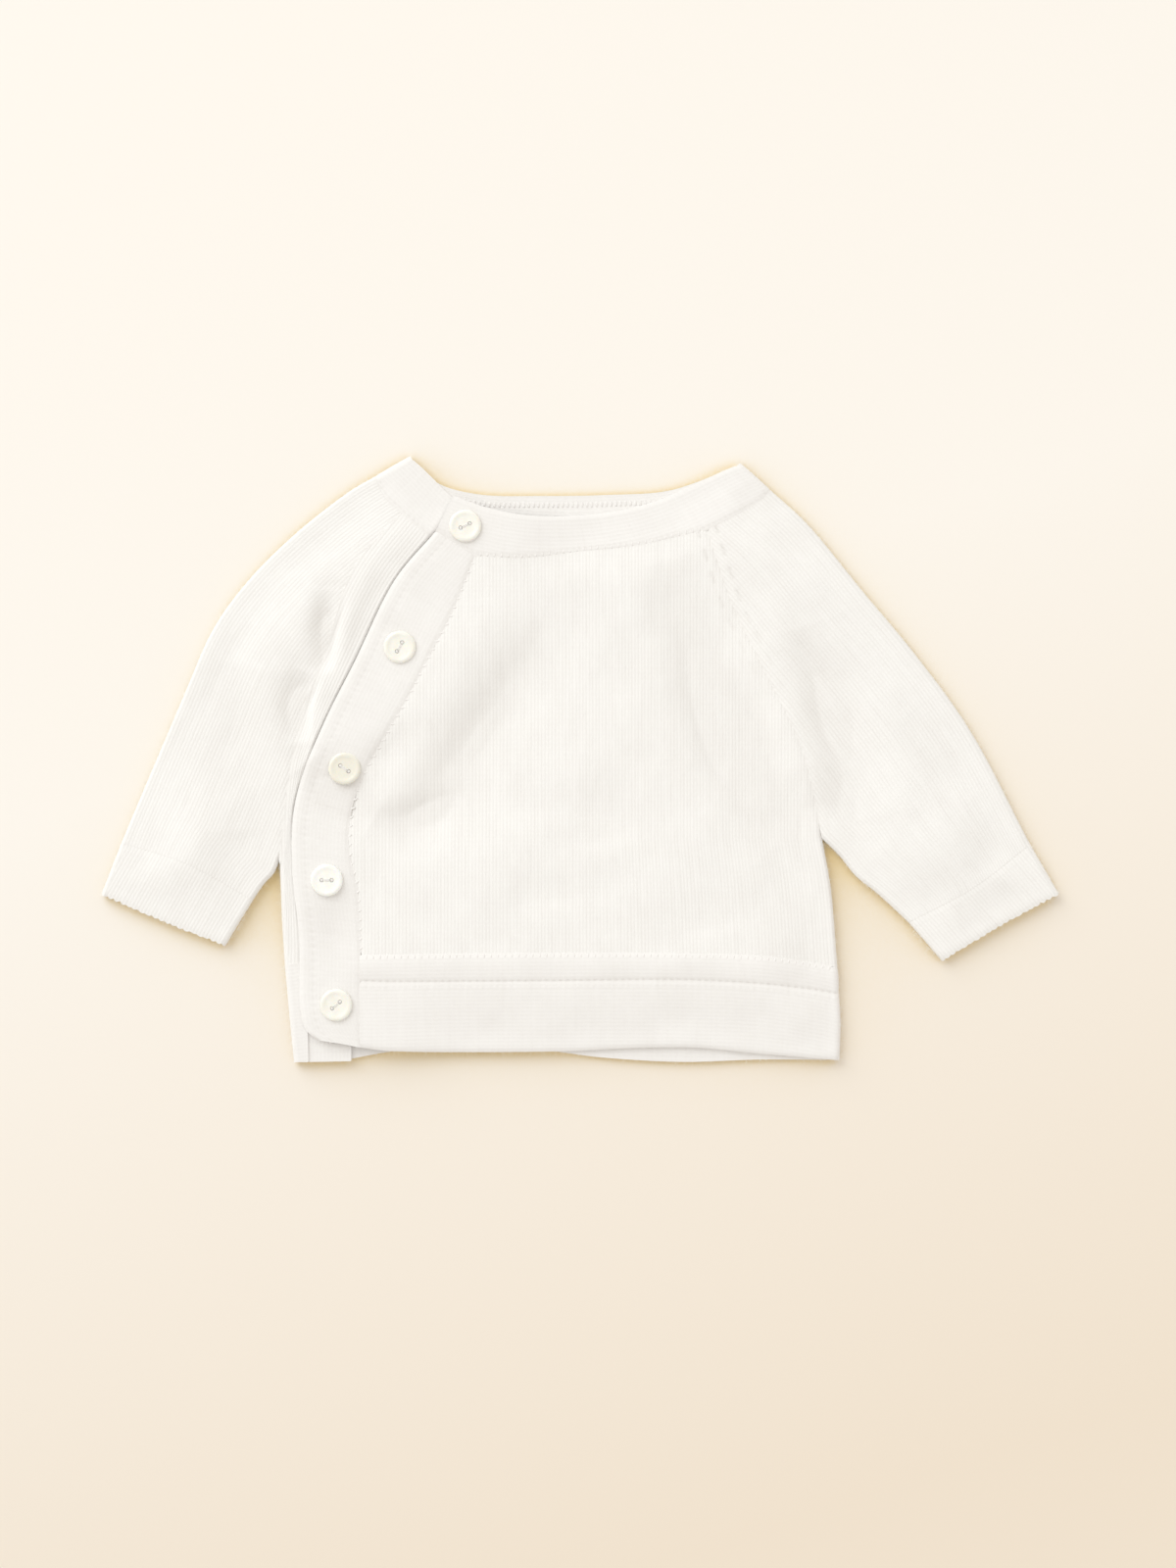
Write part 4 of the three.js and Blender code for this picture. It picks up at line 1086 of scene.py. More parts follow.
# Stretches round a cuff's tube, from its inner seam over the fold and back
INNER_UP, UPPER, OUTER, LOWER, INNER_DOWN = range(5)


def cuff_sheet(knit, seam, edge):
    """A cuff as one tube, from its inner seam over the fold and back."""
    down = even(22)
    length = length_of(left_cuff_inner)

    def plan_at(share, down):
        return seam(share) * (1 - down[..., None]) + edge(share) * down[..., None]

    width = np.linalg.norm(plan_at(0 * down, down) - plan_at(0 * down + 1, down), axis=1)
    flat_upper, flat_lower = even(84), even(42)
    # For each stretch: its kind, its angles and its shares of the flat width
    stretches = (
        (INNER_UP, QUARTER[::-1], 0 * QUARTER),
        (UPPER, 0 * flat_upper, flat_upper),
        (OUTER, HALF, 0 * HALF + 1),
        (LOWER, 0 * flat_lower + math.pi, 1 - flat_lower),
        (INNER_DOWN, math.pi - QUARTER, 0 * QUARTER),
    )
    kinds = np.concatenate([np.full(len(angles), kind) for kind, angles, _ in stretches])[:, None]
    angle = np.concatenate([angles for _, angles, _ in stretches])[:, None]
    flat = np.concatenate([shares for _, _, shares in stretches])[:, None]
    at_inner = (kinds == INNER_UP) | (kinds == INNER_DOWN)
    from_inner = CURL + flat * (width[None] - CURL - NOSE)
    from_inner = np.where(at_inner, CURL - CURL * np.sin(angle), from_inner)
    from_inner = np.where(kinds == OUTER, width[None] - NOSE + NOSE * np.sin(angle), from_inner)
    share = np.clip(1 - from_inner / width[None], 0, 1)
    teeth = np.cos(TAU * from_inner * MM / knit.wale) + 0.8 * wander(19 * from_inner, 7 * from_inner)
    down = down + CUFF_TEETH / length * teeth * down**8
    plan = plan_at(share, down)
    x, y = plan[..., 0], plan[..., 1]
    z = np.where(kinds == UPPER, sleeve_level(x, y) + PANEL_WALL / 2, 0.0)
    z = np.where(kinds == INNER_UP, 2 * NOSE - CURL * (1 - np.cos(angle)), z)
    z = np.where(kinds == OUTER, NOSE + NOSE * np.cos(angle), z)
    z = np.where(kinds == INNER_DOWN, CURL * (1 + np.cos(angle)), z)
    around = np.where(kinds == OUTER, NOSE * angle + width[None], from_inner)
    wale = around * MM / knit.wale
    row = down * length * MM / knit.row
    upper = kinds <= UPPER
    seam_at, edge_at = spot(down, 0.0, 0.05), spot(down, 1.0, 0.05)
    relief = 0.5 * knit.relief / MM * (stocking(wale, row) - LEG_LEVEL)
    relief = relief - 0.15 * seam_at - 0.4 * edge_at + 0.05 * spot(down, 0.09, 0.03)
    z = np.where(upper, z + relief, z)
    return stack(x, y, z), stack(wale, row, np.where(upper, 0.05 * seam_at, 0))


# ---------------------------------------------------------------- finishes


# Scales of the noise in each finish, in waves a metre
FIBRE_SCALE = 2600.0
CLOUD_SCALE = 90.0
PLY_SCALE = 1800.0
HAIR_SCALE = 900.0
SWIRL_SCALE = 60.0
SHELL_SCALE = 160.0

# How deep the bumps of wool, of yarn and of shell are, in metres
WOOL_BUMP = 0.00016
FINE_BUMP = 0.0001

# The surface's colour runs between these places, down and a little across it, darker and warmer towards the
# near end as a painted falloff of the light
SURFACE_RUN = (-0.05, 0.33)
SURFACE_SLANT = 0.35

# Which ways the surface looks for cloth beside it, how far and with how many rays
SHUT_LEANS = ((-0.94, 0.05, 0.34), (0.94, 0.05, 0.34))
SHUT_REACH = 0.06
SHUT_RAYS = 6

# How much painted shadow the surface takes from cloth on its right and on its left,
# and the share of the deeper painted shadow in a corner where both are shut
SHADOW_RIGHT, SHADOW_LEFT = 0.2, 0.33
CORNER_SHARE, CORNER_START = 10.0, -0.3


class Finish:
    """A material and short ways to add nodes to it.

    A value that is given where a socket can be is set on the socket directly.
    """

    def __init__(self, name):
        self.material = bpy.data.materials.new(name)
        self.material.use_nodes = True
        self.tree = self.material.node_tree
        self.shader = self.tree.nodes["Principled BSDF"]

    def join(self, value, socket):
        if isinstance(value, bpy.types.NodeSocket):
            self.tree.links.new(value, socket)
        else:
            socket.default_value = value

    def shade(self, **inputs):
        """Joins or sets inputs of the shader, with _ for each space."""
        for name, value in inputs.items():
            self.join(value, self.shader.inputs[name.replace("_", " ")])

    def add(self, kind, result=0, settings=(), **inputs):
        node = self.tree.nodes.new(kind)
        for name, value in dict(settings).items():
            setattr(node, name, value)
        for name, value in inputs.items():
            self.join(value, node.inputs[name.replace("_", " ")])
        return node.outputs[result]

    def place(self):
        """Object coordinates, in metres."""
        return self.add("ShaderNodeTexCoord", 3)

    def parts(self, vector):
        """The x, y and z of a vector."""
        node = self.tree.nodes.new("ShaderNodeSeparateXYZ")
        self.join(vector, node.inputs[0])
        return node.outputs

    def maths(self, operation, *values):
        node = self.tree.nodes.new("ShaderNodeMath")
        node.operation = operation
        for socket, value in zip(node.inputs, values):
            self.join(value, socket)
        return node.outputs[0]

    def blend(self, share, first, second):
        """A colour from the first at share 0 to the second at 1."""
        node = self.tree.nodes.new("ShaderNodeMix")
        node.data_type = "RGBA"
        self.join(share, node.inputs[0])
        self.join(first, node.inputs[6])
        self.join(second, node.inputs[7])
        return node.outputs[2]

    def noise(self, place, scale, detail=2.0, roughness=0.5):
        return self.add("ShaderNodeTexNoise", Vector=place, Scale=scale, Detail=detail, Roughness=roughness)


def wool_finish(name, colour, shade, band_rows=0.0, band_plies=0.0):
    """Fine matt wool: legs of stitches, loose fibre and a soft bloom.

    band_rows and band_plies are how many close rows and plies a band has to a
    row and a wale of its stitches, and stocking stitch has none of either.
    """
    f = Finish(name)
    # The knit attribute's third value is painted shade, put in at seams, stitch holes, grooves and creases
    wale, row, sunk = f.parts(f.add("ShaderNodeAttribute", 1, settings={"attribute_name": "knit"}))
    place = f.place()
    fibre = f.noise(place, FIBRE_SCALE, 3.0, 0.65)
    cloud = f.noise(place, CLOUD_SCALE, 3.0, 0.6)
    if band_rows:
        across = f.maths("MULTIPLY", row, TAU * band_rows)
        height = f.maths("MULTIPLY_ADD", f.maths("COSINE", across), 0.14, 0.68)
        ply = f.maths("COSINE", f.maths("MULTIPLY", wale, TAU * band_plies))
        height = f.maths("MULTIPLY_ADD", ply, 0.05, height)
    else:
        legs = f.maths("ABSOLUTE", f.maths("SINE", f.maths("MULTIPLY", wale, TAU)))
        slant = f.maths("ABSOLUTE", f.maths("SUBTRACT", f.maths("FRACT", wale), 0.5))
        turn = f.maths("MULTIPLY", f.maths("SUBTRACT", row, slant), TAU)
        twist = f.maths("MULTIPLY_ADD", f.maths("COSINE", turn), 0.13, 0.8)
        height = f.maths("MULTIPLY", legs, twist)
    pile = f.maths("MULTIPLY_ADD", fibre, 1.1, height)
    bump = f.add("ShaderNodeBump", Height=pile, Strength=0.55, Distance=WOOL_BUMP)
    run = f.add("ShaderNodeCombineXYZ", X=wale, Y=f.maths("MULTIPLY", row, 0.07))
    uneven = f.maths("MULTIPLY_ADD", f.noise(run, 1.3, 2.0), 0.5, -0.03)
    # Painted shade: the colour leans to the shade colour in the gaps between stitch legs and by the painted
    # shade in the knit attribute, and varies at random with the cloud noise
    gaps = f.maths("SUBTRACT", 1.0, height)
    painted_hollow_shade = f.maths("MULTIPLY_ADD", gaps, uneven, f.maths("MULTIPLY", sunk, 0.75))
    mottle_and_painted_shade = f.maths("MULTIPLY_ADD", f.maths("SUBTRACT", cloud, 0.5), 0.25, painted_hollow_shade)
    share = f.add("ShaderNodeClamp", Value=mottle_and_painted_shade)
    f.shade(Base_Color=f.blend(share, colour, shade), Normal=bump, Roughness=0.92)
    f.shade(Specular_IOR_Level=0.2, Sheen_Weight=0.25, Sheen_Roughness=0.6)
    return f.material


def thread_finish(name, colour, shade):
    """Sewing and linking yarn, lightly twisted."""
    f = Finish(name)
    ply = f.noise(f.place(), PLY_SCALE, 2.0)
    twisted = f.blend(f.maths("MULTIPLY", ply, 0.35), colour, shade)
    bump = f.add("ShaderNodeBump", Height=ply, Strength=0.3, Distance=FINE_BUMP)
    f.shade(Base_Color=twisted, Normal=bump, Roughness=0.8, Sheen_Weight=0.2)
    return f.material


def fibre_finish(name, colour):
    """Single hairs of wool that let light through."""
    f = Finish(name)
    white = (1.0, 1.0, 1.0, 1.0)
    f.shade(Base_Color=f.blend(f.noise(f.place(), HAIR_SCALE, 1.0), colour, white), Roughness=0.7)
    f.shade(Subsurface_Weight=1.0, Subsurface_Radius=(0.001, 0.001, 0.001))
    return f.material


def pearl_finish(name, colour, shade, grey):
    """Polished shell with faint curved bands, greyish and pink.

    grey is how far the whole button leans to the darker colour, partly the shell's own tone and partly
    painted shade and painted light.
    """
    f = Finish(name)
    place = f.place()
    swirl = f.add("ShaderNodeTexWave", 1, Vector=place, Scale=SWIRL_SCALE, Distortion=9.0, Detail=3.0)
    cloud = f.noise(place, SHELL_SCALE, 3.0)
    share = f.maths("MULTIPLY_ADD", f.maths("MULTIPLY_ADD", swirl, 0.4, cloud), 0.45, grey - 0.2)
    share = f.maths("MINIMUM", f.maths("MAXIMUM", share, 0.0), 1.0)
    bump = f.add("ShaderNodeBump", Height=swirl, Strength=0.08, Distance=FINE_BUMP)
    f.shade(Base_Color=f.blend(share, colour, shade), Normal=bump)
    f.shade(Roughness=f.maths("MULTIPLY_ADD", cloud, 0.12, 0.16), Coat_Weight=0.4, Coat_Roughness=0.12)
    f.shade(Subsurface_Weight=0.25, Subsurface_Radius=(0.002, 0.0016, 0.0012))
    return f.material


def surface_finish(name, light, warm, glow, corner):
    """A smooth pale sheet, darker and warmer towards the near end and close to the cloth, as painted falloff
    of light and painted shadow.
    """
    f = Finish(name)
    x, y, _ = f.parts(f.place())
    slope = f.maths("MULTIPLY_ADD", y, -1.0, f.maths("MULTIPLY", x, SURFACE_SLANT))
    near_end = f.add("ShaderNodeMapRange", Value=slope, From_Min=SURFACE_RUN[0], From_Max=SURFACE_RUN[1])
    shut = []
    for lean in SHUT_LEANS:
        toward = f.add("ShaderNodeCombineXYZ", X=lean[0], Y=lean[1], Z=lean[2])
        rays = {"samples": SHUT_RAYS}
        open_to_light = f.add("ShaderNodeAmbientOcclusion", 1, rays, Distance=SHUT_REACH, Normal=toward)
        shut.append(f.maths("POWER", f.maths("SUBTRACT", 1.0, open_to_light), 0.8))
    left, right = shut
    # Painted shadow: the surface is blended towards the shadow colour where cloth shuts it in on either side,
    # and towards the deeper corner colour where cloth shuts it in on both
    shadow_beside_cloth = f.maths("MULTIPLY_ADD", right, SHADOW_RIGHT, f.maths("MULTIPLY", left, SHADOW_LEFT))
    between = f.maths("MULTIPLY_ADD", f.maths("MULTIPLY", left, right), CORNER_SHARE, CORNER_START)
    with_shadow = f.blend(shadow_beside_cloth, f.blend(near_end, light, warm), glow)
    f.shade(Base_Color=f.blend(between, with_shadow, corner), Roughness=0.75, Specular_IOR_Level=0.25)
    return f.material


def finish_of(name, make, *looks):
    """The finish of that name, made on first use from its colours and numbers."""
    made = bpy.data.materials.get(name)
    if made:
        return made
    return make(name, *[(*look, 1.0) if hasattr(look, "__len__") else look for look in looks])


def wool(sizes):
    return finish_of("Fine wool", wool_finish, sizes.colours.wool, sizes.colours.shade)


def band_wool(sizes):
    rows, plies = sizes.knit.row / MM / BAND_ROW, sizes.knit.wale / MM / BAND_PLY
    return finish_of("Band wool", wool_finish, sizes.colours.band, sizes.colours.shade, rows, plies)


def thread(sizes):
    return finish_of("Linking yarn", thread_finish, sizes.colours.band, sizes.colours.shade)


# ------------------------------------------------------- stitches and buttons


def grains(name, stitches, looks):
    """One mesh of small rounded stitches, each a place, an angle and a size."""
    bm = bmesh.new()
    for place, angle, size in stitches:
        matrix = (
            Matrix.Translation(Vector(place) * MM)
            @ Matrix.Rotation(angle, 4, "Z")
            @ Matrix.Diagonal((*(Vector(size) * MM), 1))
        )
        bmesh.ops.create_uvsphere(bm, u_segments=8, v_segments=5, radius=1, matrix=matrix)
    piece = piece_from(name, bm, looks)
    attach(piece, "root")


def along_seam(path, pitch, off, skip=0.0):
    """Places a pitch apart beside a seam, and the way the seam runs there."""
    count = int((length_of(path) - 2 * skip) / pitch)
    share = (skip + pitch * (np.arange(count) + 0.5)) / length_of(path)
    ahead = path(share + 0.005) - path(share - 0.005)
    return beside(path, off)(share), np.arctan2(ahead[:, 1], ahead[:, 0])


# Edges that show loose fibre: the side of the line that is outward, the height
# of the cloth there, and fibres a millimetre
Fringe = namedtuple("Fringe", "path side height density")
NAP_EDGES = [
    Fringe(left_sleeve_fold, 1, 3.9, 5),
    Fringe(right_sleeve_fold, -1, 3.9, 9),
    Fringe(left_shoulder_fold, 1, 4.1, 5),
    Fringe(right_shoulder_fold, -1, 4.1, 8),
    Fringe(left_cuff_fold, 1, 3.9, 6),
    Fringe(right_cuff_fold, -1, 3.9, 9),
    Fringe(left_cuff_edge, 1, 3.6, 12),
    Fringe(right_cuff_edge, -1, 3.6, 12),
    Fringe(left_sleeve_inner, -1, 3.9, 9),
    Fringe(right_sleeve_inner, 1, 3.9, 9),
    Fringe(left_cuff_inner, -1, 3.9, 9),
    Fringe(right_cuff_inner, 1, 3.9, 9),
    Fringe(left_side, 1, 3.9, 9),
    Fringe(right_side, -1, 3.9, 9),
    Fringe(left_hem_fold, 1, 4.1, 9),
    Fringe(right_hem_fold, -1, 4.1, 9),
    Fringe(front_hem, -1, 3.9, 9),
    Fringe(back_hem, 1, 1.9, 6),
    Fringe(neck_front_edge, 1, 4.0, 6),
    Fringe(neck_back_edge, -1, 1.9, 6),
]

# Sizes of a fibre, and how evenly their lengths fall: higher is more even
NAP_RADIUS = 0.033
NAP_LENGTH = 1.5
NAP_EVENNESS = 3.0
NAP_SEED = 11

# Where roots are: shares of the cloth's height, and how far inside its face
NAP_ROOTS = (0.45, 0.98)
NAP_INSET = 0.25

# How fibres lean: along the edge, upwards (middle and spread) and part way up
NAP_SWAY = 0.75
NAP_LIFT = (0.1, 0.35)
NAP_BEND = 0.55
NAP_LOWEST = 0.06


def nap_lines():
    """Roots, middles and tips of the loose fibres round the edges."""
    rng = np.random.default_rng(NAP_SEED)
    roots, leads, bends = [], [], []
    for edge in NAP_EDGES:
        count = int(length_of(edge.path) * edge.density)
        share = rng.uniform(0, 1, count)
        ahead = heading(edge.path, share)
        out = edge.side * to_left(ahead)
        half = edge.height / 2
        z = edge.height * rng.uniform(*NAP_ROOTS, count)
        inset = half - np.sqrt(np.maximum(half**2 - (z - half) ** 2, 0)) + NAP_INSET
        place = edge.path(share) - out * inset[:, None]
        roots.append(stack(place[:, 0], place[:, 1], z))
        sway = rng.normal(0, NAP_SWAY, count)
        lift = rng.normal(*NAP_LIFT, count)
        lead = out * np.cos(sway)[:, None] + ahead * np.sin(sway)[:, None]
        leads.append(stack(lead[:, 0], lead[:, 1], lift))
        bends.append(rng.normal(0, NAP_BEND, (count, 3)))
    root, lead, bend = (np.concatenate(group) for group in (roots, leads, bends))
    half = NAP_LENGTH / 2 * rng.gamma(NAP_EVENNESS, 1 / NAP_EVENNESS, len(root))[:, None]
    lead /= np.linalg.norm(lead, axis=1, keepdims=True)
    middle = root + lead * half
    tip = middle + (lead + bend) * half
    for places in (middle, tip):
        places[:, 2] = np.maximum(places[:, 2], NAP_LOWEST)
    return root, middle, tip


def nap(name, root, middle, tip, looks):
    """One mesh of loose fibres, each a thin bent spike."""
    bm = bmesh.new()
    bmesh.ops.create_cone(bm, cap_ends=True, segments=3, radius1=1, radius2=0, depth=2)
    bmesh.ops.remove_doubles(bm, verts=bm.verts, dist=1e-5)
    every = bm.verts[:] + bm.edges[:] + bm.faces[:]
    bmesh.ops.bisect_plane(bm, geom=every, dist=1e-6, plane_co=(0, 0, 0), plane_no=(0, 0, 1))
    piece = piece_from(name, bm, looks, rounded=False)
    many = piece.modifiers.new("Fibres", "ARRAY")
    many.count, many.use_relative_offset = len(root), False
    mesh = evaluated_mesh(piece)
    place = np.empty(len(mesh.vertices) * 3, np.float32)
    mesh.vertices.foreach_get("co", place)
    place = place.reshape(len(root), -1, 3)
    up = place[..., 2:]
    core = np.where(up < -0.5, root[:, None], np.where(up < 0.5, middle[:, None], tip[:, None]))
    lead = tip - root
    side = np.cross(lead, (0, 0, 1))
    side /= np.linalg.norm(side, axis=1, keepdims=True)
    rise = np.cross(lead, side)
    rise /= np.linalg.norm(rise, axis=1, keepdims=True)
    spike = core + NAP_RADIUS * (place[..., :1] * side[:, None] + place[..., 1:2] * rise[:, None])
    mesh.vertices.foreach_set("co", (spike * MM).astype(np.float32).ravel())
    mesh.update()
    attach(piece, "root")


# The turn of each button's holes in degrees, and how far its shell leans to the darker colour: partly its own
# tone, and partly painted shade on button_3, which lies in a hollow, and painted light on button_4
Button = namedtuple("Button", "node turn grey")
BUTTONS = [
    Button("button_1", 25, 0.35),
    Button("button_2", 60, 0.4),
    Button("button_3", -35, 1.1),
    Button("button_4", 0, 0.05),
    Button("button_5", 40, 0.4),
]

# Half of a button's section: (radius, height)
BUTTON_PROFILE = [
    (0, 0), (5.0, 0), (5.6, 0.1), (6.05, 0.34), (6.3, 0.68), (6.35, 1.0), (6.22, 1.3), (5.98, 1.55),
    (5.65, 1.72), (5.3, 1.79), (4.95, 1.78), (4.6, 1.7), (4.25, 1.6), (3.9, 1.53), (3.4, 1.48), (2.6, 1.46),
    (0, 1.46),
]
BUTTON_SEGMENTS = 72
BUTTON_SINK = 0.05
BUTTON_CREASE = math.radians(40)
HOLE_RADIUS = 0.8
HOLE_SPACING = 3.9
DRILL_LENGTH = 8

# Sewing in a button: half sizes of a yarn and a knot, how far each yarn is from
# the middle, and their heights over the band
YARN = (1.9, 0.2, 0.2)
KNOT = (0.75, 0.75, 0.25)
YARN_OFF = 0.22
YARN_LEVEL = 1.5
KNOT_LEVEL = 1.2


def button_place(button):
    """The middle of a button's back on the band's face, in millimetres."""
    low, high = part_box(button.node)
    x, y = (np.array([value / 2 / MM]) for value in (low.x + high.x, low.y + high.y))
    level = float(front_level(BAND_WALL)(x, y)[0]) + BAND_WALL / 2 - BUTTON_SINK
    return Vector((x[0], y[0], level))


def pearl_button(button, looks):
    """A two-hole button: a turned rim, a dished middle and two drilled holes."""
    name = "pearl_" + button.node
    bm = bmesh.new()
    profile = [bm.verts.new((r * MM, 0, z * MM)) for r, z in BUTTON_PROFILE]
    edges = [bm.edges.new(pair) for pair in zip(profile, profile[1:])]
    bmesh.ops.spin(
        bm, geom=profile + edges, cent=(0, 0, 0), axis=(0, 0, 1),
        angle=TAU, steps=BUTTON_SEGMENTS, use_merge=True,
    )
    bmesh.ops.remove_doubles(bm, verts=bm.verts, dist=SLIVER)
    bmesh.ops.recalc_face_normals(bm, faces=bm.faces)
    drills = bmesh.new()
    for side in (-1, 1):
        bmesh.ops.create_cone(
            drills, cap_ends=True, segments=24, radius1=HOLE_RADIUS * MM, radius2=HOLE_RADIUS * MM,
            depth=DRILL_LENGTH * MM, matrix=Matrix.Translation((side * HOLE_SPACING / 2 * MM, 0, 1 * MM)),
        )
    turned = Matrix.Rotation(math.radians(button.turn), 4, "Z")
    place = Matrix.Translation(button_place(button) * MM) @ turned
    for shape in (bm, drills):
        bmesh.ops.transform(shape, matrix=place, verts=shape.verts)
    piece, drill = piece_from(name, bm), piece_from(name + "_drill", drills)
    cut = piece.modifiers.new("Holes", "BOOLEAN")
    cut.object, cut.operation, cut.solver = drill, "DIFFERENCE", "EXACT"
    made = evaluated_mesh(piece)
    bpy.data.objects.remove(drill)
    made.name = name
    made.set_sharp_from_angle(angle=BUTTON_CREASE)
    made.materials.clear()
    made.materials.append(looks)
    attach(piece, "root")
    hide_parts(button.node)


def sewing(button):
    """Places, turns and sizes of the two yarns and two knots in a button."""
    middle, angle = button_place(button), math.radians(button.turn)
    across = Vector((-math.sin(angle), math.cos(angle), 0))
    along = Vector((math.cos(angle), math.sin(angle), 0))
    up = Vector((0, 0, 1))
    sides = (-1, 1)
    yarns = [(middle + side * YARN_OFF * across + YARN_LEVEL * up, angle, YARN) for side in sides]
    knots = [(middle + side * HOLE_SPACING / 2 * along + KNOT_LEVEL * up, 0, KNOT) for side in sides]
    return yarns + knots


# Stitches beside a seam: how far apart, how far to its left, their turn from
# it, their half sizes, and how high they stand over the front or the back
Stitches = namedtuple("Stitches", "name path pitch off tilt size lift at_back")


def seam_stitches(seam):
    """Places, turns and sizes of the stitches beside a seam."""
    at, angle = along_seam(seam.path, seam.pitch, seam.off, 1.0)
    z = front_level(BAND_WALL)(at[:, 0], at[:, 1]) + BAND_WALL / 2 + seam.lift
    if seam.at_back:
        z = 0 * z + BAND_WALL + seam.lift
    return [((x, y, level), turned + seam.tilt, seam.size) for (x, y), level, turned in zip(at, z, angle)]


# --------------------------------------------------------- sizes and colours


def length_choice(name, description, default, least):
    """A length in metres that a user can change."""
    return FloatProperty(name=name, description=description, default=default, min=least, unit="LENGTH")


def colour_choice(name, description, default):
    """A colour that a user can change."""
    return FloatVectorProperty(
        name=name, description=description, default=default, size=3, min=0, max=1, subtype="COLOR",
    )


class CardiganKnit(bpy.types.PropertyGroup):
    wale: length_choice("Wale", "Width of one column of stitches", 0.00272, 0.001)
    row: length_choice("Row", "Height of one row of stitches", 0.002, 0.001)
    relief: length_choice("Relief", "How far a stitch stands out of the cloth", 0.00016, 0)


class CardiganColours(bpy.types.PropertyGroup):
    wool: colour_choice("Wool", "Colour of the body and sleeves", (0.90, 0.888, 0.872))
    band: colour_choice("Bands", "Colour of the bands", (0.875, 0.859, 0.845))
    # Painted shade: wool is blended towards this colour between stitch legs, in seams, stitch holes and
    # grooves, and deep in creases; the linking yarn's darker plies take it too
    shade: colour_choice("Shade", "Colour deep between stitches", (0.64, 0.60, 0.57))
    pearl: colour_choice("Pearl", "Colour of the buttons", (0.965, 0.965, 0.93))
    grey_pearl: colour_choice("Grey pearl", "Colour of the buttons' darker bands", (0.84, 0.815, 0.73))
    # The surface's colour runs from the far end to the darker, warmer near end as a painted falloff of the
    # light
    light_surface: colour_choice("Surface", "Colour of the surface at the far end", (0.895, 0.857, 0.808))
    # Painted shadow on the surface beside the cloth, and deeper painted shadow between two edges of cloth
    glow: colour_choice("Shadow", "Colour of the surface close to the cloth", (0.87, 0.735, 0.49))
    corner_shadow: colour_choice(
        "Corner glow", "Colour of the surface between two edges of cloth", (0.75, 0.59, 0.31),
    )
    warm_surface: colour_choice(
        "Near surface", "Colour of the surface at the near end", (0.812, 0.717, 0.603),
    )


class CardiganSizes(bpy.types.PropertyGroup):
    knit: PointerProperty(type=CardiganKnit)
    colours: PointerProperty(type=CardiganColours)


# --------------------------------------------------------------- the pieces

# For each piece the solid it stands for, its finish's slot, its wall in
# millimetres, its flat cut and that cut's area in metres, and what it rests on
Cut = namedtuple("Cut", "node slot wall flat area rests_on")
CUTS = {
    "back_panel": Cut("back", "knit", PANEL_WALL, (0.220, 0.179), 0.0311, ["surface"]),
    "front_panel": Cut("front", "knit", PANEL_WALL, (0.193, 0.173), 0.0252, ["back_panel"]),
    "under_front_panel": Cut("under_front", "knit", PANEL_WALL, (0.030, 0.178), 0.0024, ["back_panel"]),
    "left_sleeve": Cut("sleeve_left", "knit", PANEL_WALL, (0.144, 0.176), 0.0193, ["surface"]),
    "right_sleeve": Cut("sleeve_right", "knit", PANEL_WALL, (0.124, 0.172), 0.0160, ["surface"]),
    "left_cuff": Cut("cuff_left", "band_knit", PANEL_WALL, (0.114, 0.0225), 0.00236, ["surface"]),
    "right_cuff": Cut("cuff_right", "band_knit", PANEL_WALL, (0.118, 0.0235), 0.00273, ["surface"]),
    "neck_band": Cut("neckband", "band_knit", BAND_WALL, (0.338, 0.018), 0.00574, ["surface", "front_panel"]),
    "hem_welt": Cut("hem_band", "band_knit", BAND_WALL, (0.437, 0.038), 0.01597, ["surface"]),
    "wrap_band": Cut("button_band", "band_knit", BAND_WALL, (0.235, 0.0240), 0.0052, ["under_wrap_band"]),
    "under_wrap_band": Cut("under_band", "band_knit", PANEL_WALL, (0.226, 0.0185), 0.00395, ["back_panel"]),
}


def panel(name, sheet, looks, faces_down=False):
    """Knits one piece and sets it in for its solid."""
    cut = CUTS[name]
    piece = cloth(name, *sheet, cut.wall, looks, faces_down)
    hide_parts(cut.node)
    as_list(cut.rests_on)


class CARDIGAN_OT_back(bpy.types.Operator):
    """Knit the back, which lies flat on the surface"""

    bl_idname = "cardigan.back"
    bl_label = "Back"

    def execute(self, context):
        sizes = context.scene.cardigan
        panel("back_panel", back_sheet(sizes.knit), wool(sizes), faces_down=True)
        return {"FINISHED"}


class CARDIGAN_OT_front(bpy.types.Operator):
    """Knit the wide front, which wraps over"""

    bl_idname = "cardigan.front"
    bl_label = "Front"

    def execute(self, context):
        sizes = context.scene.cardigan
        panel("front_panel", front_sheet(sizes.knit), wool(sizes))
        return {"FINISHED"}


class CARDIGAN_OT_under_front(bpy.types.Operator):
    """Knit the narrow front below the wrap"""

    bl_idname = "cardigan.under_front"
    bl_label = "Under front"

    def execute(self, context):
        sizes = context.scene.cardigan
        panel("under_front_panel", under_front_sheet(sizes.knit), wool(sizes))
        return {"FINISHED"}


class CARDIGAN_OT_sleeves(bpy.types.Operator):
    """Knit both sleeves as tubes, folded down their outer edge"""

    bl_idname = "cardigan.sleeves"
    bl_label = "Sleeves"

    def execute(self, context):
        sizes = context.scene.cardigan
        panel("left_sleeve", sleeve_sheet(sizes.knit, LEFT_SLEEVE), wool(sizes))
        panel("right_sleeve", sleeve_sheet(sizes.knit, RIGHT_SLEEVE), wool(sizes))
        return {"FINISHED"}


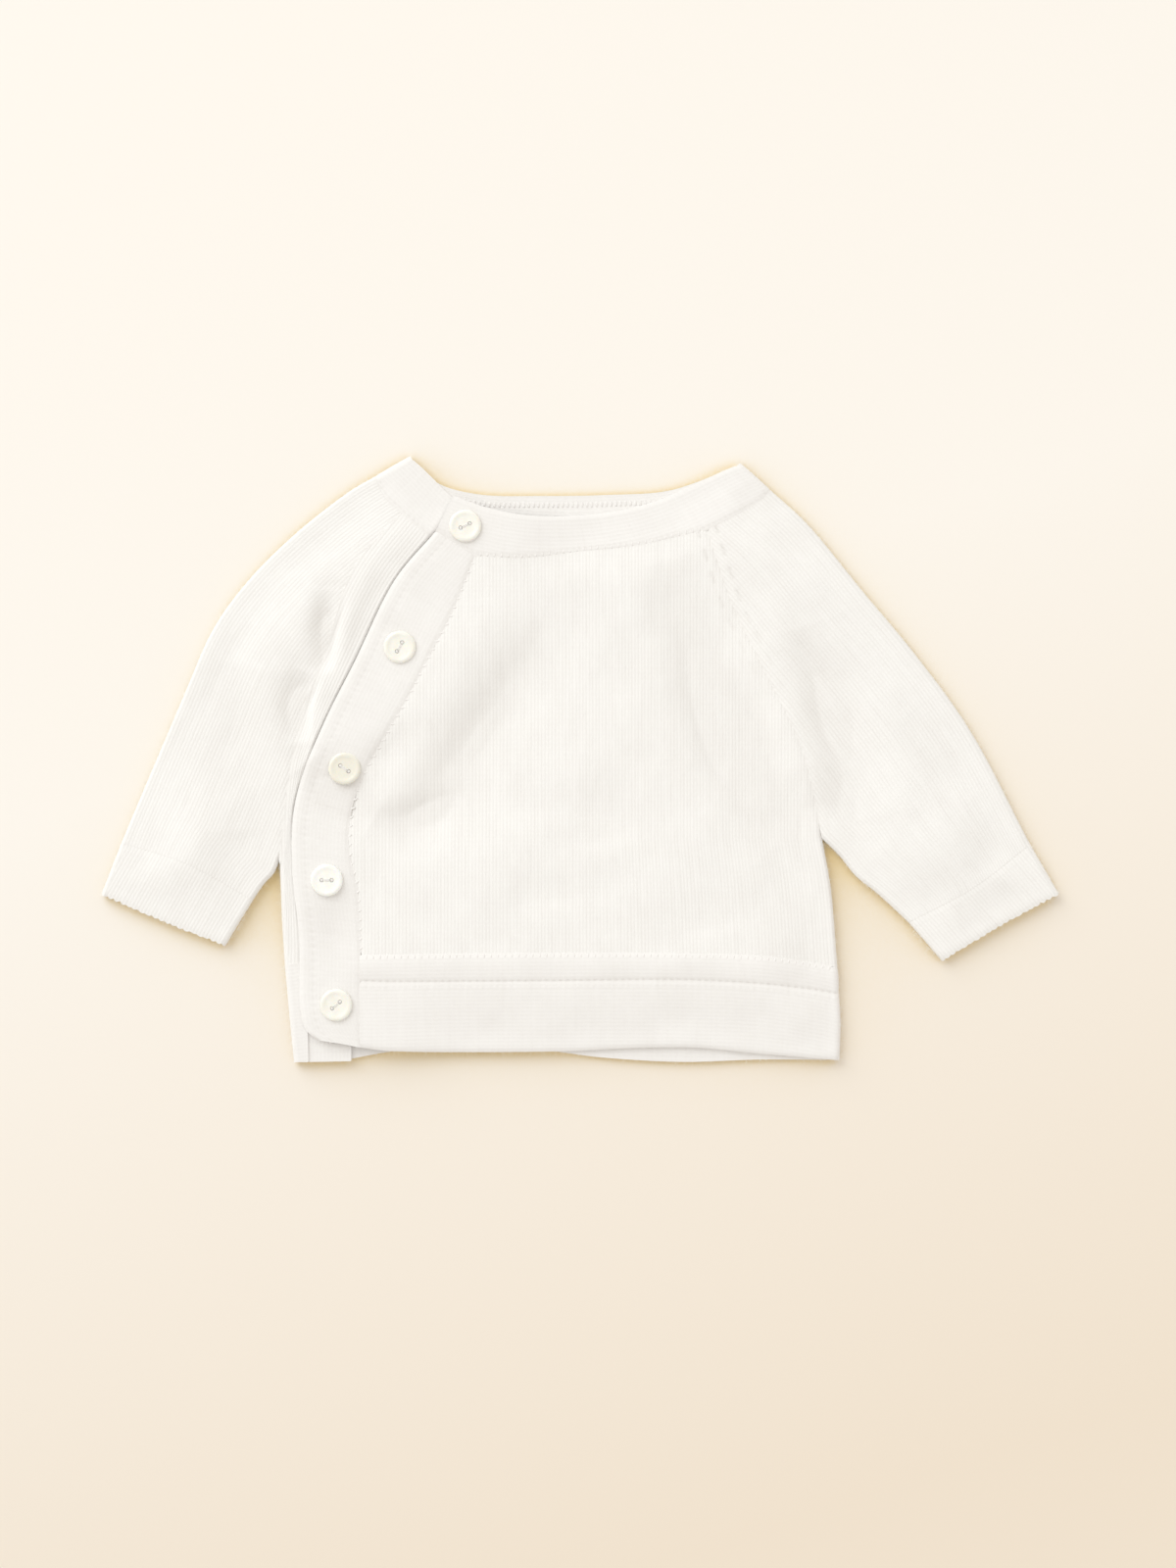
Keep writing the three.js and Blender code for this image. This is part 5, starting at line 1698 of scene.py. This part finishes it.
class CARDIGAN_OT_cuffs(bpy.types.Operator):
    """Knit both cuffs"""

    bl_idname = "cardigan.cuffs"
    bl_label = "Cuffs"

    def execute(self, context):
        sizes = context.scene.cardigan
        panel("left_cuff", cuff_sheet(sizes.knit, left_cuff_seam, left_cuff_edge), wool(sizes))
        panel("right_cuff", cuff_sheet(sizes.knit, right_cuff_seam, right_cuff_edge), wool(sizes))
        return {"FINISHED"}


class CARDIGAN_OT_neckband(bpy.types.Operator):
    """Knit the neckband, from the button over both shoulders to its under end"""

    bl_idname = "cardigan.neckband"
    bl_label = "Neckband"

    def execute(self, context):
        sizes = context.scene.cardigan
        panel("neck_band", neckband_sheet(sizes.knit), band_wool(sizes))
        return {"FINISHED"}


class CARDIGAN_OT_hem(bpy.types.Operator):
    """Knit the welt and hem band"""

    bl_idname = "cardigan.hem"
    bl_label = "Hem band"

    def execute(self, context):
        sizes = context.scene.cardigan
        panel("hem_welt", hem_sheet(sizes.knit), band_wool(sizes))
        return {"FINISHED"}


class CARDIGAN_OT_wrap_bands(bpy.types.Operator):
    """Knit the button band and the band under it"""

    bl_idname = "cardigan.wrap_bands"
    bl_label = "Wrap bands"

    def execute(self, context):
        sizes = context.scene.cardigan
        panel("wrap_band", button_band_sheet(sizes.knit), band_wool(sizes))
        panel("under_wrap_band", under_band_sheet(sizes.knit), band_wool(sizes))
        return {"FINISHED"}


class CARDIGAN_OT_linking(bpy.types.Operator):
    """Add the linking and sewing stitches along the seams"""

    bl_idname = "cardigan.linking"
    bl_label = "Seam stitches"

    def execute(self, context):
        sizes = context.scene.cardigan
        wale, square = sizes.knit.wale / MM, math.pi / 2
        welt, neck, wrap, back_neck = (0.95, 0.42, 0.3), (0.8, 0.4, 0.22), (1.2, 0.45, 0.18), (1.2, 0.6, 0.14)
        for seam in (
            Stitches("welt_linking", front_welt_seam, wale, -1.1, square, welt, 0.1, False),
            Stitches("wrap_linking", wrap_seam, SEWN_PITCH, 0.5, square + 0.6, wrap, -0.36, False),
            Stitches("back_neck_linking", neck_back_edge, 1.9, 3.4, square, back_neck, 0.02, True),
            Stitches("neck_linking", neck_front_seam, wale, 0.9, square, neck, -0.12, False),
        ):
            grains(seam.name, seam_stitches(seam), thread(sizes))
        return {"FINISHED"}


class CARDIGAN_OT_nap(bpy.types.Operator):
    """Raise the loose fibre round the edges"""

    bl_idname = "cardigan.nap"
    bl_label = "Nap"

    def execute(self, context):
        colours = context.scene.cardigan.colours
        nap("edge_nap", *nap_lines(), finish_of("Loose fibre", fibre_finish, colours.wool))
        return {"FINISHED"}


class CARDIGAN_OT_buttons(bpy.types.Operator):
    """Turn the five pearl buttons and sew them on"""

    bl_idname = "cardigan.buttons"
    bl_label = "Buttons"

    def execute(self, context):
        sizes = context.scene.cardigan
        pearl, grey_pearl = sizes.colours.pearl, sizes.colours.grey_pearl
        for button in BUTTONS:
            # Each button has its own copy of the finish, darker as painted shade on button_3 and whiter as
            # painted light on button_4
            looks = finish_of(f"Pearl {button.node}", pearl_finish, pearl, grey_pearl, button.grey)
            pearl_button(button, looks)
            grains("sewing_" + button.node, sewing(button), thread(sizes))
        return {"FINISHED"}


# ---------------------------------------------------------------- the stage

# Round lamps, turned to the middle of the garment: width in metres, power in watts
Lamp = namedtuple("Lamp", "name at width power tint")
LAMPS = [
    Lamp("window", (-3.3, 3.95, 3.3), 6.0, 225.0, (0.94, 0.985, 1.0)),
    Lamp("fill", (0.9, -0.6, 1.6), 1.8, 1.5, (1.0, 0.96, 0.9)),
]
ROOM_TINT = (1.0, 0.965, 0.91, 1.0)
ROOM_STRENGTH = 0.82

SURFACE_HALF = 1.6
SURFACE_DROP = 0.0002

# The camera looks straight down from above this place, and sees this width
CAMERA_OVER = (0.0031, -0.0098, 0.004)
CAMERA_HEIGHT = 1.2
VIEW_WIDTH = 0.616


def lay_surface(colours):
    """A pale sheet just below the garment, wider than the view."""
    bm = bmesh.new()
    under = Matrix.Translation((0, 0, -SURFACE_DROP))
    bmesh.ops.create_grid(bm, x_segments=8, y_segments=8, size=SURFACE_HALF, matrix=under)
    # the colours of the painted shadow beside the cloth and between its edges
    shadows = (colours.glow, colours.corner_shadow)
    looks = finish_of("Pale surface", surface_finish, colours.light_surface, colours.warm_surface, *shadows)
    surface = piece_from("surface", bm, looks, rounded=False)
    surface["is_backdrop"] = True


def light_room(scene):
    """Soft daylight from the upper left, a faint fill and a pale room."""
    for row in LAMPS:
        light = bpy.data.lights.new(row.name, "AREA")
        light.shape, light.size, light.energy, light.color = "DISK", row.width, row.power, row.tint
        lamp = bpy.data.objects.new(row.name, light)
        lamp.location = row.at
        lamp.rotation_euler = (-Vector(row.at)).to_track_quat("-Z", "Y").to_euler()
        scene.collection.objects.link(lamp)
    world = bpy.data.worlds.new("Studio")
    world.use_nodes = True
    room = world.node_tree.nodes["Background"]
    room.inputs["Color"].default_value = ROOM_TINT
    room.inputs["Strength"].default_value = ROOM_STRENGTH
    scene.world = world
    scene.view_settings.view_transform = "Standard"


def set_camera(scene):
    """A camera straight above, with the garment's neck towards the top."""
    camera = bpy.data.cameras.new("above")
    camera.lens = camera.sensor_width * CAMERA_HEIGHT / VIEW_WIDTH
    camera.clip_end = 10
    above = bpy.data.objects.new("above", camera)
    above.location = Vector(CAMERA_OVER) + Vector((0, 0, CAMERA_HEIGHT))
    scene.collection.objects.link(above)
    scene.camera = above


class CARDIGAN_OT_stage(bpy.types.Operator):
    """Lay the pale surface, the soft light and the camera straight above"""

    bl_idname = "cardigan.stage"
    bl_label = "Stage"

    def execute(self, context):
        lay_surface(context.scene.cardigan.colours)
        light_room(context.scene)
        set_camera(context.scene)
        return {"FINISHED"}


# --------------------------------------------------------------- the add-on

OPERATORS = (
    CARDIGAN_OT_back, CARDIGAN_OT_under_front, CARDIGAN_OT_front, CARDIGAN_OT_sleeves, CARDIGAN_OT_cuffs,
    CARDIGAN_OT_neckband, CARDIGAN_OT_hem, CARDIGAN_OT_wrap_bands, CARDIGAN_OT_linking,
    CARDIGAN_OT_nap, CARDIGAN_OT_buttons, CARDIGAN_OT_stage,
)


class CARDIGAN_PT_pieces(bpy.types.Panel):
    bl_label = "Baby wrap cardigan"
    bl_space_type = "VIEW_3D"
    bl_region_type = "UI"
    bl_category = "Cardigan"

    def draw(self, context):
        sizes = context.scene.cardigan
        for group in (sizes.knit, sizes.colours):
            for name in group.bl_rna.properties.keys():
                if name not in {"rna_type", "name"}:
                    self.layout.prop(group, name)
        for operator in OPERATORS:
            self.layout.operator(operator.bl_idname)


CLASSES = (CardiganKnit, CardiganColours, CardiganSizes, *OPERATORS, CARDIGAN_PT_pieces)


def register():
    for kind in CLASSES:
        bpy.utils.register_class(kind)
    bpy.types.Scene.cardigan = PointerProperty(type=CardiganSizes)


def unregister():
    del bpy.types.Scene.cardigan
    for kind in reversed(CLASSES):
        bpy.utils.unregister_class(kind)


def main():
    register()
    for operator in OPERATORS:
        group, name = operator.bl_idname.split(".")
        getattr(getattr(bpy.ops, group), name)()
    boxes = {"cad": CAD_BOX, "visual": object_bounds()}
    {name: [list(corner) for corner in box] for name, box in boxes.items()}


if __name__ == "__main__":
    main()
